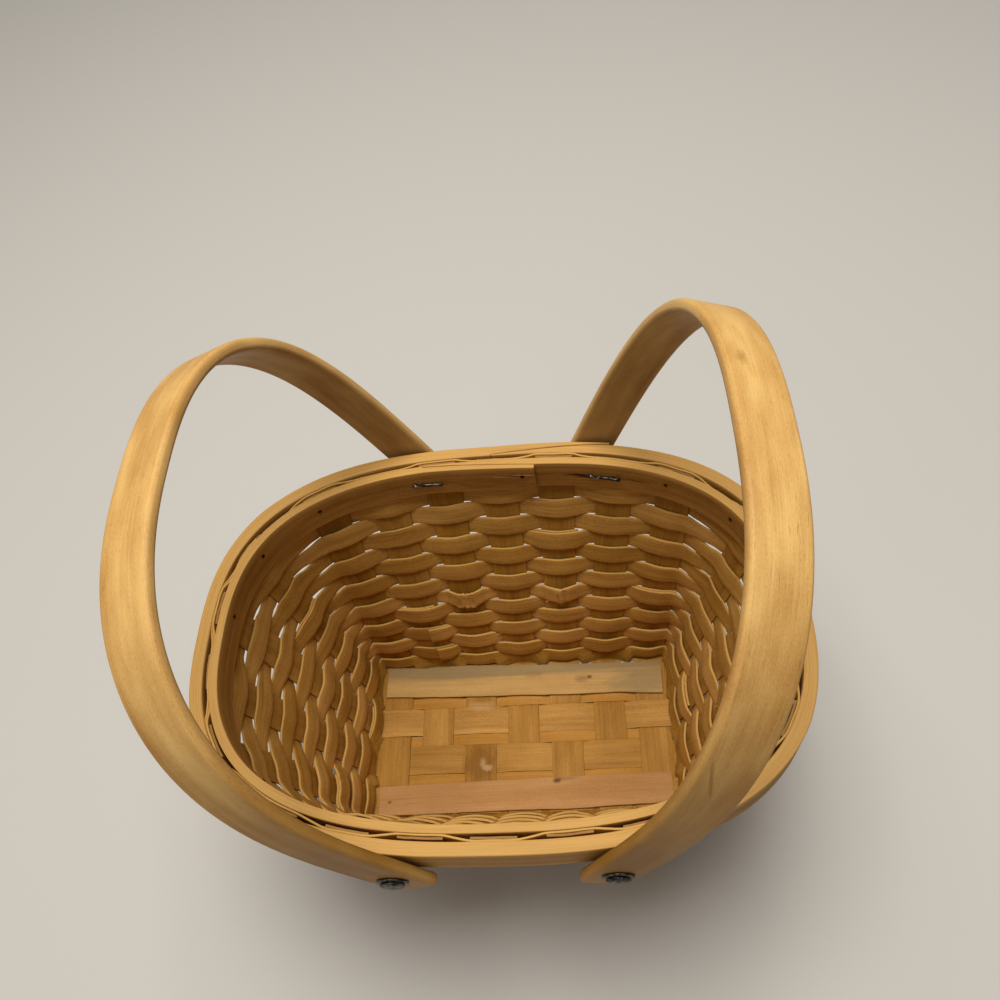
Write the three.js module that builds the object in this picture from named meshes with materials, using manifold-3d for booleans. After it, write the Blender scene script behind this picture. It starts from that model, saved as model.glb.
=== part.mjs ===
// A splint-woven market basket with two swing handles.
// Millimetres, +Z up. The origin is on the surface that the basket stands on, under the middle
// of its rim. +X runs along the basket's length and +Y towards its lapped back side.

import * as THREE from 'three';
import { mergeVertices } from 'three/addons/utils/BufferGeometryUtils.js';
import Module from 'manifold-3d';

const wasm = await Module();
wasm.setup();

// Cross splints: they run under the floor from front to back and up both long walls.
const cross_count = 7;
const cross_width = 19.4;
const cross_floor_pitch = 27;
const cross_rim_spread = 0.2371; // pitch at the rim, as a share of the rim's half length

// Long splints: they run along the floor and up both end walls.
const long_count = 4;
const long_width = 17.6;
const long_floor_pitch = 24.5;
const long_rim_spread = 0.3736; // pitch at the rim, as a share of the rim's half width
const long_shift = 1.6; // from the middle of the floor forward to the middle of the long splints
const floor_shift = 2.3; // from the middle of the rim back to the middle of the floor

// Splint stock and the clearances of the weave.
const splint_thickness = 1;
const filler_thickness = 0.9;
const weaver_thickness = 0.9;
const weave_gap = 0.3; // between two splints that cross
const row_gap = 0.4; // between two weavers of neighbouring rows
const filler_side_gap = 1.1; // between a filler and the long splints beside it
const weaver_bulge = 1.2; // how far a weaver stands off the middle of a splint it passes
const edge_overrun = 0.6; // how far a weaver runs past a splint's edge before it crosses
const bend_allowance = 2.8; // from the edge of the woven floor out to the foot of the wall
const row_count = 14;
const row_drop = 1.8; // from the bottom of the hoops down to the first row
const row_taper = 0.024; // how much lower each row is than the one above, as a share of a mean row
const rim_row_count = 2; // rows hidden between the hoops

// Floor boards.
const board_thickness = 1.6;
const back_board_width = 20.6;
const front_board_width = 18;
const board_end_gap = 2.4; // from a board's end to the edge of the woven floor
const board_side_gap = 4; // from a board's outer side to the foot of the wall
const board_turn_degrees = 1.2; // each way: the boards stand further apart at the left

// Rim hoops: two bent bands with the top of the weave between them.
const rim_height = 167;
const hoop_height = 21;
const rim_half_length = 132; // to the inner face of the inner hoop
const rim_half_width = 91;
const rim_squareness = 2.65; // 2 is an ellipse, a higher value a squarer outline
const inner_hoop_thickness = 3.6;
const outer_hoop_thickness = 5.6;
const hoop_gap = 0.4; // between a hoop and the weave
const weave_drop = 1.2; // how far the weave ends below the top of the hoops
const lap_length = 60;
const inner_lap_x = 21.5;
const inner_lap_step = 2.6;
const outer_lap_x = 58;
const outer_lap_step = 0.9;
const scarf_tip = 1.2; // thickness of the covered end of a hoop

// Handles: two bent strips that swing on nails through the rim.
const handle_width = 22.7;
const handle_thickness = 5.5;
const handle_edge_chamfer = 1.4;
const handle_height = 164; // from the pivot to the middle of the crown
const handle_crown_roundness = 2.5;
const handle_shoulder_roundness = 3.4;
const handle_stub = 17.6; // length of the leg below the pivot
const handle_gap = 0.4; // between the widest part of the rim and a handle's leg
const pivot_drop = 13.5; // below the top of the rim
const pivot_spread = 0.3568; // between the two pivots, as a share of the rim's length
const pivot_shift = 3; // the two pivots lie this far to the right of the middle
const left_lean_degrees = 23.7; // away from upright, as the handles stand
const right_lean_degrees = 19.9;

// Handle nails, their washers and the rim tacks.
const nail_radius = 1.3;
const nail_head_radius = 5.4;
const nail_head_height = 2.4;
const nail_tail_length = 12;
const nail_tail_thickness = 1.4;
const hole_clearance = 0.3;
const washer_radius = 6.9;
const washer_thickness = 0.8;
const seat_gap = 0.3; // between a nail head, washer or board and what it lies on
// Along the inner face of the rim, clockwise from the middle of its back side.
const tack_places = [-262, -171, -135, -97, 14, 90, 128, 190, 262, 368];
const tack_drop = 8; // below the top of the rim
const tack_head_radius = 1.6;
const tack_head_height = 0.7;
const tack_radius = 0.5;
const tack_depth = 2.6;

// Facets.
const hoop_facets = 72;
const handle_facets = 34;
const round_facets = 8;
const wall_steps = 3;

// Places worked out from the sizes above.
const cross_half_count = (cross_count - 1) / 2;
const long_half_count = (long_count - 1) / 2;
const floor_half_length = cross_half_count * cross_floor_pitch + cross_width / 2;
const floor_half_width = long_half_count * long_floor_pitch + long_width / 2 + long_shift;
const foot_half_length = floor_half_length + bend_allowance;
const foot_half_width = floor_half_width + bend_allowance;
const low_level = splint_thickness / 2;
const high_level = low_level + splint_thickness + weave_gap;
const board_level = high_level + splint_thickness / 2 + seat_gap;
const foot_height = board_level + board_thickness + seat_gap;
const hoop_bottom = rim_height - hoop_height;
const weave_top = rim_height - weave_drop;
const weaver_offset = splint_thickness / 2 + weave_gap + weaver_thickness / 2;
const half_weave = weaver_offset + weaver_thickness / 2 + hoop_gap;
const weave_line = inner_hoop_thickness + half_weave; // outwards from the inner face of the rim
const outer_hoop_start = weave_line + half_weave;
const rim_thickness = outer_hoop_start + outer_hoop_thickness;
const pivot_height = rim_height - pivot_drop;
const tack_height = rim_height - tack_drop;
const leg_line = rim_half_width + rim_thickness + handle_gap + handle_thickness / 2;
const handle_outer_face = leg_line + handle_thickness / 2;
const nail_hole_radius = nail_radius + hole_clearance;
const half_spacing = pivot_spread * rim_half_length;
const pivots = { left: pivot_shift - half_spacing, right: pivot_shift + half_spacing };

// Finishes.
function wood(color, roughness = 0.6) {
  return new THREE.MeshStandardMaterial({ color, roughness, metalness: 0, flatShading: true });
}
const splint_wood = wood('#b98546');
const weaver_wood = wood('#c08a4e');
const board_wood = wood('#cfa262');
const hoop_wood = wood('#c99346');
const handle_wood = wood('#d19a45', 0.4);
const dark_metal = new THREE.MeshStandardMaterial({ color: '#4a443c', roughness: 0.5, metalness: 0.85 });

// Solids: rings of points are joined one to the next, and the ends are closed.
function skin(rings, closed = false) {
  const size = rings[0].length;
  const positions = rings.flat().flatMap((point) => [point.x, point.y, point.z]);
  const index = [];
  const quad = (a, b, c, d) => index.push(a, b, c, a, c, d);
  const joints = closed ? rings.length : rings.length - 1;
  for (let ring = 0; ring < joints; ring += 1) {
    const here = ring * size;
    const next = ((ring + 1) % rings.length) * size;
    for (let i = 0; i < size; i += 1) {
      const j = (i + 1) % size;
      quad(here + i, here + j, next + j, next + i);
    }
  }
  if (!closed) {
    const last = (rings.length - 1) * size;
    for (let i = 0; i < size / 2 - 1; i += 1) {
      const k = size - 1 - i;
      quad(i, k, k - 1, i + 1);
      quad(last + i, last + i + 1, last + k - 1, last + k);
    }
  }
  return outward(positions, index);
}

// A solid's faces point out when its volume counts as positive.
function outward(positions, index) {
  const at = (i) => new THREE.Vector3().fromArray(positions, 3 * i);
  let volume = 0;
  for (let i = 0; i < index.length; i += 3) {
    volume += at(index[i]).dot(at(index[i + 1]).cross(at(index[i + 2])));
  }
  if (volume < 0) index.reverse();
  const geometry = new THREE.BufferGeometry();
  geometry.setAttribute('position', new THREE.Float32BufferAttribute(positions, 3));
  geometry.setIndex(index);
  return geometry;
}

// Cutting and joining.
function toManifold(geometry) {
  const bare = geometry.clone();
  bare.deleteAttribute('normal');
  bare.deleteAttribute('uv');
  const merged = mergeVertices(bare, 1e-5);
  const vertProperties = new Float32Array(merged.attributes.position.array);
  const triVerts = new Uint32Array(merged.index.array);
  return new wasm.Manifold(new wasm.Mesh({ numProp: 3, vertProperties, triVerts }));
}

function fromManifold(manifold) {
  const mesh = manifold.getMesh();
  const geometry = new THREE.BufferGeometry();
  geometry.setAttribute('position', new THREE.Float32BufferAttribute(mesh.vertProperties, 3));
  geometry.setIndex(Array.from(mesh.triVerts));
  return geometry;
}

// A straight hole that runs from one point to another.
function hole(from, to, radius) {
  const length = from.distanceTo(to);
  const cylinder = new THREE.CylinderGeometry(radius, radius, length, round_facets);
  const turn = new THREE.Quaternion();
  turn.setFromUnitVectors(new THREE.Vector3(0, 1, 0), to.clone().sub(from).normalize());
  cylinder.applyQuaternion(turn);
  const middle = from.clone().add(to).multiplyScalar(0.5);
  return cylinder.translate(middle.x, middle.y, middle.z);
}

function cut(geometry, holes) {
  let body = toManifold(geometry);
  for (const each of holes) body = body.subtract(toManifold(each));
  return fromManifold(body);
}

// The rim outline, moved outwards by an offset, at an angle that runs from +X towards +Y.
function rimPoint(angle, offset, z) {
  const power = 2 / rim_squareness;
  const c = Math.cos(angle);
  const s = Math.sin(angle);
  const x = (rim_half_length + offset) * Math.sign(c) * Math.abs(c) ** power;
  const y = (rim_half_width + offset) * Math.sign(s) * Math.abs(s) ** power;
  return new THREE.Vector3(x, y, z);
}

// The width of the rim outline where it stands at x, and its length where it stands at y.
function rimHalfWidthAt(x, offset) {
  const share = (Math.abs(x) / (rim_half_length + offset)) ** rim_squareness;
  return (rim_half_width + offset) * (1 - share) ** (1 / rim_squareness);
}

function rimHalfLengthAt(y, offset) {
  const share = (Math.abs(y) / (rim_half_width + offset)) ** rim_squareness;
  return (rim_half_length + offset) * (1 - share) ** (1 / rim_squareness);
}

// The rim outline measured along its length, so that pieces can be spaced evenly on it.
function measureRim(offset, steps = 1440) {
  const angles = [];
  const lengths = [0];
  let before = rimPoint(0, offset, 0);
  for (let i = 0; i <= steps; i += 1) {
    const angle = (2 * Math.PI * i) / steps;
    const point = rimPoint(angle, offset, 0);
    angles.push(angle);
    if (i > 0) lengths.push(lengths[i - 1] + point.distanceTo(before));
    before = point;
  }
  const total = lengths[steps];
  return {
    total,
    angleAt(length) {
      const rest = THREE.MathUtils.euclideanModulo(length, total);
      const i = Math.min(lengths.findIndex((each) => each > rest), steps);
      const share = (rest - lengths[i - 1]) / (lengths[i] - lengths[i - 1]);
      return THREE.MathUtils.lerp(angles[i - 1], angles[i], share);
    },
    lengthAt(point) {
      let best = 0;
      for (let i = 1; i < steps; i += 1) {
        const here = rimPoint(angles[i], offset, 0).distanceToSquared(point);
        const kept = rimPoint(angles[best], offset, 0).distanceToSquared(point);
        if (here < kept) best = i;
      }
      return lengths[best];
    },
  };
}
const weave_rim = measureRim(weave_line);

// Outward direction of the rim at an angle.
function rimNormal(angle, offset) {
  const turn = 1e-3;
  const ahead = rimPoint(angle + turn, offset, 0);
  const behind = rimPoint(angle - turn, offset, 0);
  return new THREE.Vector3(ahead.y - behind.y, behind.x - ahead.x, 0).normalize();
}

// A stake is the part of a splint that rises up the wall. It is known by its two edges and its
// middle line: each runs straight from the foot of the wall to the bottom of the hoops, and
// from there straight up. Stakes are listed counter-clockwise, starting at the right-hand end.
function makeStake(foot, along, out, rim, width) {
  const rim_length = weave_rim.lengthAt(rim);
  const lines = [-1, 0, 1].map((side) => {
    const angle = weave_rim.angleAt(rim_length + (side * width) / 2);
    return {
      foot: foot.clone().addScaledVector(along, (side * width) / 2),
      rim: rimPoint(angle, weave_line, hoop_bottom),
      foot_out: out,
      rim_out: rimNormal(angle, weave_line),
    };
  });
  return { lines };
}

// One of a stake's lines at a height, with its outward and sideways directions.
function stakeAt(stake, side, z) {
  const line = stake.lines[side + 1];
  const share = Math.min((z - foot_height) / (hoop_bottom - foot_height), 1);
  const point = line.foot.clone().lerp(line.rim, share).setZ(z);
  const out = line.foot_out.clone().lerp(line.rim_out, share).normalize();
  const along = new THREE.Vector3(-out.y, out.x, 0);
  return { point, out, along };
}

function crossStake(number, side) {
  const place = number - cross_half_count;
  const foot_y = floor_shift + side * foot_half_width;
  const foot = new THREE.Vector3(place * cross_floor_pitch, foot_y, foot_height);
  const x = place * cross_rim_spread * rim_half_length;
  const rim = new THREE.Vector3(x, side * rimHalfWidthAt(x, weave_line), 0);
  const along = new THREE.Vector3(-side, 0, 0);
  return makeStake(foot, along, new THREE.Vector3(0, side, 0), rim, cross_width);
}

function longStake(number, side) {
  const place = number - long_half_count;
  const foot_y = floor_shift - long_shift + place * long_floor_pitch;
  const foot = new THREE.Vector3(side * foot_half_length, foot_y, foot_height);
  const y = place * long_rim_spread * rim_half_width;
  const rim = new THREE.Vector3(side * rimHalfLengthAt(y, weave_line), y, 0);
  const along = new THREE.Vector3(0, side, 0);
  return makeStake(foot, along, new THREE.Vector3(side, 0, 0), rim, long_width);
}

const counting = (count) => Array.from({ length: count }, (_, i) => i);
const backwards = (count) => counting(count).reverse();
const stakes = {
  right: counting(long_count).map((i) => longStake(i, 1)),
  back: backwards(cross_count).map((i) => crossStake(i, 1)),
  left: backwards(long_count).map((i) => longStake(i, -1)),
  front: counting(cross_count).map((i) => crossStake(i, -1)),
};
const stakes_around = [...stakes.right, ...stakes.back, ...stakes.left, ...stakes.front];

// One ring of a strip: the inner face's points and then the outer face's, in reverse.
function stripRing(middles, outs, thickness) {
  const inner = middles.map((p, i) => p.clone().addScaledVector(outs[i], -thickness / 2));
  const outer = middles.map((p, i) => p.clone().addScaledVector(outs[i], thickness / 2));
  return [...inner, ...outer.reverse()];
}

// The rings of a splint's rise up the wall, from the foot to the top of the weave.
function wallRings(stake) {
  const heights = counting(wall_steps + 1).map((i) => {
    return THREE.MathUtils.lerp(foot_height, hoop_bottom, i / wall_steps);
  });
  return [...heights, weave_top].map((z) => {
    const places = [-1, 0, 1].map((side) => stakeAt(stake, side, z));
    const points = places.map((place) => place.point);
    return stripRing(points, places.map((place) => place.out), splint_thickness);
  });
}

// The ring where a splint turns from the floor into the wall, halfway between level and upright.
function bendRing(stake, level) {
  const places = [-1, 0, 1].map((side) => stakeAt(stake, side, foot_height));
  const outs = places.map(({ out }) => out.clone().setZ(-1).normalize());
  const middles = places.map(({ point, out }) => {
    return point.addScaledVector(out, -bend_allowance / 4).setZ(level + bend_allowance / 4);
  });
  return stripRing(middles, outs, splint_thickness);
}

// A floor ring of a splint: flat, with its upper face as the inner face. Its points run in the
// same order as those of the stake that it turns into.
function floorRing(center, along, width, thickness) {
  const down = new THREE.Vector3(0, 0, -1);
  const points = [-1, 0, 1].map((side) => center.clone().addScaledVector(along, (side * width) / 2));
  return stripRing(points, [down, down, down], thickness);
}

// What lies on the floor across the cross splints, from back to front.
const long_centers = counting(long_count).map((i) => {
  return floor_shift - long_shift + (long_half_count - i) * long_floor_pitch;
});
const filler_width = long_floor_pitch - long_width - 2 * filler_side_gap;
const filler_centers = counting(long_count - 1).map((i) => {
  return (long_centers[i] + long_centers[i + 1]) / 2;
});
// The numbers of the cross splints, from the left, that each filler passes over.
const filler_over = [[1, 3, 5], [2, 4], [1, 3, 5]];

function longPassesOver(long_number, cross_number) {
  return (long_number + cross_number) % 2 === 1;
}

// The floor crossings of a cross splint: where each begins and ends, and whether the cross
// splint is the upper or the lower one there.
function crossingsOf(cross_number) {
  const crossings = long_centers.map((y, i) => {
    const upper = !longPassesOver(i, cross_number);
    return { y, reach: long_width / 2, upper };
  });
  filler_centers.forEach((y, i) => {
    const upper = !filler_over[i].includes(cross_number);
    crossings.push({ y, reach: filler_width / 2, upper });
  });
  return crossings.sort((one, other) => other.y - one.y);
}

const levelOf = (upper) => (upper ? high_level : low_level);

// A U-shaped splint: up from the weave, down one wall, along the floor and up the other wall.
// Mirroring the far side's rings keeps their points in one order.
function crossSplint(number) {
  const x = (number - cross_half_count) * cross_floor_pitch;
  const along = new THREE.Vector3(-1, 0, 0);
  const back = stakes.back[cross_count - 1 - number];
  const front = stakes.front[number];
  const crossings = crossingsOf(number);
  const ends = [floor_shift + floor_half_width, floor_shift - floor_half_width];
  const first = levelOf(crossings[0].upper);
  const last = levelOf(crossings[crossings.length - 1].upper);
  const floor = [[ends[0], first]];
  for (const { y, reach, upper } of crossings) {
    const level = levelOf(upper);
    floor.push([Math.min(y + reach, ends[0] - weave_gap), level]);
    floor.push([Math.max(y - reach, ends[1] + weave_gap), level]);
  }
  floor.push([ends[1], last]);
  const flat = floor.map(([y, z]) => {
    return floorRing(new THREE.Vector3(x, y, z), along, cross_width, splint_thickness);
  });
  return skin([
    ...wallRings(back).reverse(),
    bendRing(back, first),
    ...flat,
    turned(bendRing(front, last)),
    ...wallRings(front).map(turned),
  ]);
}

// The same ring with its points listed from the other edge.
function turned(ring) {
  const half = ring.length / 2;
  return [...ring.slice(0, half).reverse(), ...ring.slice(half).reverse()];
}

// Where a strip that runs along the floor passes each cross splint, from right to left.
function passes(overSplint, thickness, end) {
  const raised = splint_thickness + weave_gap + thickness / 2;
  const points = [];
  for (const number of backwards(cross_count)) {
    const x = (number - cross_half_count) * cross_floor_pitch;
    const z = overSplint(number) ? raised : thickness / 2;
    points.push([Math.min(x + cross_width / 2, end), z]);
    points.push([Math.max(x - cross_width / 2, -end), z]);
  }
  return points;
}

function longSplint(number) {
  const y = long_centers[number];
  const right = stakes.right[long_count - 1 - number];
  const left = stakes.left[number];
  const along = new THREE.Vector3(0, 1, 0);
  const end = floor_half_length - weave_gap;
  const points = passes((cross) => longPassesOver(number, cross), splint_thickness, end);
  const first = points[0][1];
  const last = points[points.length - 1][1];
  const line = [[floor_half_length, first], ...points, [-floor_half_length, last]];
  const flat = line.map(([x, z]) => {
    return floorRing(new THREE.Vector3(x, y, z), along, long_width, splint_thickness);
  });
  return skin([
    ...wallRings(right).reverse(),
    bendRing(right, first),
    ...flat,
    turned(bendRing(left, last)),
    ...wallRings(left).map(turned),
  ]);
}

// A short strip that fills the slot between two long splints. Its ends are tucked under the
// outermost cross splints.
function floorFiller(number) {
  const end = floor_half_length - board_end_gap;
  const over = (cross) => filler_over[number].includes(cross);
  const along = new THREE.Vector3(0, 1, 0);
  const rings = passes(over, filler_thickness, end).map(([x, z]) => {
    const center = new THREE.Vector3(x, filler_centers[number], z);
    return floorRing(center, along, filler_width, filler_thickness);
  });
  return skin(rings);
}

// The boards that cover the front and back edges of the woven floor.
function floorBoard(width) {
  const length = 2 * (floor_half_length - board_end_gap);
  return new THREE.BoxGeometry(length, width, board_thickness);
}

// A weaver goes round the wall, inside one stake and outside the next. It has a corner at each
// edge of a stake and one at its middle.
function weaver(row, bottom, top, bulge) {
  const corners = [];
  stakes_around.forEach((stake, i) => {
    const way = (row + i) % 2 === 0 ? 1 : -1;
    for (const side of [-1, 0, 1]) {
      const offset = weaver_offset + (side === 0 ? bulge : 0);
      const ends = [bottom, top].map((z) => {
        const { point, out, along } = stakeAt(stake, side, z);
        return point.addScaledVector(out, way * offset).addScaledVector(along, side * edge_overrun);
      });
      corners.push(ends);
    }
  });
  const rings = corners.map(([low, high], i) => {
    const before = corners[(i + corners.length - 1) % corners.length][0];
    const after = corners[(i + 1) % corners.length][0];
    const out = cornerNormal(before, low, after);
    const half = weaver_thickness / 2;
    return [
      low.clone().addScaledVector(out, -half),
      high.clone().addScaledVector(out, -half),
      high.clone().addScaledVector(out, half),
      low.clone().addScaledVector(out, half),
    ];
  });
  return skin(rings, true);
}

// The outward direction halfway between those of the two straight runs that meet at a corner.
function cornerNormal(before, corner, after) {
  const into = corner.clone().sub(before).setZ(0).normalize();
  const from = after.clone().sub(corner).setZ(0).normalize();
  const along = into.add(from).normalize();
  return new THREE.Vector3(along.y, -along.x, 0);
}

// A hoop is one strip, bent round until its ends lap. The covered end thins to a scarf, and the
// other end lies on it and stands proud. Depths are measured from the face that stays smooth.
function hoop({ base, thickness, out, lap_x, lap_step, direction }) {
  const line = measureRim(base);
  const lap_end = new THREE.Vector3(lap_x, rimHalfWidthAt(lap_x, base), 0);
  const start = line.lengthAt(lap_end) - direction * lap_length;
  const covered = (share) => THREE.MathUtils.lerp(scarf_tip, thickness, share);
  const lap_shares = [0, 1 / 3, 2 / 3, 1];
  const sections = lap_shares.map((share) => [share * lap_length, 0, covered(share)]);
  const rest = line.total - lap_length;
  for (const i of counting(hoop_facets - 1)) {
    sections.push([lap_length + (rest * (i + 1)) / hoop_facets, 0, thickness]);
  }
  sections.push([line.total - 3 * weave_gap, 0, thickness]);
  sections.push([line.total - weave_gap, scarf_tip + weave_gap, thickness]);
  for (const share of lap_shares.slice(1)) {
    const along = line.total + share * lap_length;
    sections.push([along, covered(share) + weave_gap, thickness + share * lap_step]);
  }
  const rings = sections.map(([along, near, far]) => {
    const angle = line.angleAt(start + direction * along);
    const at = (depth, z) => rimPoint(angle, base + out * depth, z);
    return [at(near, hoop_bottom), at(near, rim_height), at(far, rim_height), at(far, hoop_bottom)];
  });
  return skin(rings);
}

// The nail holes run through the handle's leg and the whole rim, on the front and the back.
function nailHole(x, side, from, to) {
  const start = new THREE.Vector3(x, side * from, pivot_height);
  const end = new THREE.Vector3(x, side * to, pivot_height);
  return hole(start, end, nail_hole_radius);
}

const through_all = [rim_half_width / 2, handle_outer_face + washer_thickness];
const nail_holes = Object.values(pivots).flatMap((x) => {
  return [-1, 1].map((side) => nailHole(x, side, ...through_all));
});

// The tacks that hold the inner hoop. None is near a nail.
const tack_line = measureRim(0);
const tacks = tack_places.map((place) => {
  const angle = tack_line.angleAt(tack_line.total / 4 - place);
  return { point: rimPoint(angle, 0, tack_height), out: rimNormal(angle, 0) };
});

// Tacks on the lapped stretch sit further in, on the face of the proud end.
function lapFaceOffset(point) {
  const share = (point.x - inner_lap_x + lap_length) / lap_length;
  const lapped = point.y > 0 && share > 0 && share < 1;
  return lapped ? -share * inner_lap_step : 0;
}

function tackPlace({ point, out }) {
  return point.clone().addScaledVector(out, lapFaceOffset(point));
}

function tackHole(tack) {
  const face = tackPlace(tack);
  const from = face.clone().addScaledVector(tack.out, -tack_head_height);
  const to = face.clone().addScaledVector(tack.out, tack_depth);
  return hole(from, to, tack_radius + hole_clearance);
}

function innerHoop() {
  const geometry = hoop({
    base: inner_hoop_thickness,
    thickness: inner_hoop_thickness,
    out: -1,
    lap_x: inner_lap_x,
    lap_step: inner_lap_step,
    direction: -1,
  });
  return cut(geometry, [...nail_holes, ...tacks.map(tackHole)]);
}

function outerHoop() {
  const geometry = hoop({
    base: outer_hoop_start,
    thickness: outer_hoop_thickness,
    out: 1,
    lap_x: outer_lap_x,
    lap_step: outer_lap_step,
    direction: -1,
  });
  return cut(geometry, nail_holes);
}

// A ring of points round a centre, for round and flattened pieces.
function roundRing({ center, across, up, radius, flat = radius }) {
  return counting(round_facets).map((i) => {
    const angle = (2 * Math.PI * (i + 0.5)) / round_facets;
    return center
      .clone()
      .addScaledVector(across, flat * Math.cos(angle))
      .addScaledVector(up, radius * Math.sin(angle));
  });
}

// The head lies on the washer, the shank goes through the leg and the rim, and the tail is bent
// over on the inner hoop, along its face. The rings are laid out for the back side of the
// basket, and a front nail mirrors them.
function handleNail(x, side) {
  const up = new THREE.Vector3(0, 0, 1);
  const inward = new THREE.Vector3(0, -1, 0);
  const seat = handle_outer_face + washer_thickness + 2 * seat_gap;
  const half_tail = nail_tail_thickness / 2;
  const ring = (center, travel, radius, flat = radius) => {
    return roundRing({ center, across: new THREE.Vector3(-travel.y, travel.x, 0), up, radius, flat });
  };
  const shank = (y, radius) => ring(new THREE.Vector3(x, y, pivot_height), inward, radius);
  const onFace = (along) => {
    const face = rimHalfWidthAt(along, 0);
    const step = lapFaceOffset(new THREE.Vector3(along, side * face, pivot_height));
    return new THREE.Vector3(along, face + step - seat_gap - half_tail, pivot_height);
  };
  const bend = onFace(x);
  const tail_start = onFace(x + 2 * nail_radius);
  const tail_end = onFace(x + nail_tail_length);
  const tail = tail_end.clone().sub(tail_start).normalize();
  const corner = tail.clone().add(inward).normalize();
  const rings = [
    shank(seat + nail_head_height, nail_head_radius * 0.3),
    shank(seat + nail_head_height * 0.8, nail_head_radius * 0.72),
    shank(seat + nail_head_height * 0.35, nail_head_radius),
    shank(seat, nail_head_radius * 0.94),
    shank(seat, nail_radius),
    shank(bend.y + half_tail + nail_radius, nail_radius),
    ring(bend, corner, nail_radius, half_tail),
    ring(tail_start, tail, nail_radius, half_tail),
    ring(tail_end, tail, nail_radius * 0.4, half_tail),
  ];
  return skin(rings.map((each) => each.map((point) => point.setY(side * point.y))));
}

function nailWasher() {
  const hole_edge = nail_hole_radius;
  const profile = [
    new THREE.Vector2(hole_edge, 0),
    new THREE.Vector2(washer_radius, 0),
    new THREE.Vector2(washer_radius, washer_thickness),
    new THREE.Vector2(hole_edge, washer_thickness),
    new THREE.Vector2(hole_edge, 0),
  ];
  return new THREE.LatheGeometry(profile, 2 * round_facets);
}

function tackBody(tack) {
  const up = new THREE.Vector3(0, 0, 1);
  const across = new THREE.Vector3(-tack.out.y, tack.out.x, 0);
  const face = tackPlace(tack);
  const ring = (depth, radius) => {
    const center = face.clone().addScaledVector(tack.out, depth);
    return roundRing({ center, across, up, radius });
  };
  const head = -seat_gap;
  return skin([
    ring(head - tack_head_height, tack_head_radius * 0.6),
    ring(head, tack_head_radius),
    ring(head, tack_radius),
    ring(tack_depth - 2 * seat_gap, tack_radius),
  ]);
}

// A handle in its own frame: the pivot axis is Y through the origin, and the crown is straight
// up. The middle line goes up one leg, over the crown and down the other leg.
function handleLine() {
  const points = [new THREE.Vector2(-leg_line, -handle_stub)];
  for (const i of counting(handle_facets + 1)) {
    const angle = (Math.PI * i) / handle_facets;
    const c = Math.cos(angle);
    const s = Math.sin(angle);
    const y = -leg_line * Math.sign(c) * Math.abs(c) ** (2 / handle_crown_roundness);
    const z = handle_height * Math.abs(s) ** (2 / handle_shoulder_roundness);
    points.push(new THREE.Vector2(y, z));
  }
  points.push(new THREE.Vector2(leg_line, -handle_stub));
  return points;
}

function handle() {
  const line = handleLine();
  const half_width = handle_width / 2;
  const half_thickness = handle_thickness / 2;
  const chamfer = handle_edge_chamfer;
  const outline = [
    [-half_width, -half_thickness + chamfer],
    [-half_width + chamfer, -half_thickness],
    [half_width - chamfer, -half_thickness],
    [half_width, -half_thickness + chamfer],
    [half_width, half_thickness - chamfer],
    [half_width - chamfer, half_thickness],
    [-half_width + chamfer, half_thickness],
    [-half_width, half_thickness - chamfer],
  ];
  const rings = line.map((point, i) => {
    const before = line[Math.max(i - 1, 0)];
    const after = line[Math.min(i + 1, line.length - 1)];
    const along = after.clone().sub(before).normalize();
    const out = new THREE.Vector2(-along.y, along.x);
    return outline.map(([x, depth]) => {
      return new THREE.Vector3(x, point.x + out.x * depth, point.y + out.y * depth);
    });
  });
  const reach = [leg_line - handle_thickness, leg_line + handle_thickness];
  const holes = [-1, 1].map((side) => {
    const from = new THREE.Vector3(0, side * reach[0], 0);
    const to = new THREE.Vector3(0, side * reach[1], 0);
    return hole(from, to, nail_hole_radius);
  });
  return cut(skin(rings), holes);
}

// The assembly.
const basket = new THREE.Group();

function add(name, geometry, material, parent = basket) {
  const mesh = new THREE.Mesh(geometry, material);
  mesh.name = name;
  parent.add(mesh);
  return mesh;
}

for (const i of counting(cross_count)) {
  add(`cross_splint_${i + 1}`, cut(crossSplint(i), nail_holes), splint_wood);
}
for (const i of counting(long_count)) {
  add(`long_splint_${i + 1}`, longSplint(i), splint_wood);
}
for (const i of counting(long_count - 1)) {
  add(`floor_filler_${i + 1}`, floorFiller(i), board_wood);
}

const boards = [['back', back_board_width, 1], ['front', front_board_width, -1]];
for (const [name, width, side] of boards) {
  const board = add(`${name}_floor_board`, floorBoard(width), board_wood);
  const middle = foot_half_width - board_side_gap - width / 2;
  board.position.set(0, floor_shift + side * middle, board_level + board_thickness / 2);
  board.rotation.z = THREE.MathUtils.degToRad(-side * board_turn_degrees);
}

// Rows are numbered from the hoops down. The rim rows are higher still, between the hoops.
// The lower rows were beaten down more tightly.
const row_pitch = (hoop_bottom - row_drop - foot_height) / row_count;
function rowTop(row) {
  return hoop_bottom - row_drop - row_pitch * (row + row_taper * row * (row_count - row) / 2);
}
for (const i of counting(row_count)) {
  const top = rowTop(i);
  const bottom = rowTop(i + 1) + row_gap;
  add(`weaver_row_${i + 1}`, weaver(i, bottom, top, weaver_bulge), weaver_wood);
}
const rim_row_pitch = (weave_top - hoop_bottom) / rim_row_count;
for (const i of counting(rim_row_count)) {
  const top = weave_top - i * rim_row_pitch;
  const bottom = top - rim_row_pitch + row_gap;
  const geometry = weaver(i - rim_row_count, bottom, top, 0);
  add(`rim_weaver_${i + 1}`, cut(geometry, nail_holes), weaver_wood);
}

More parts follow.
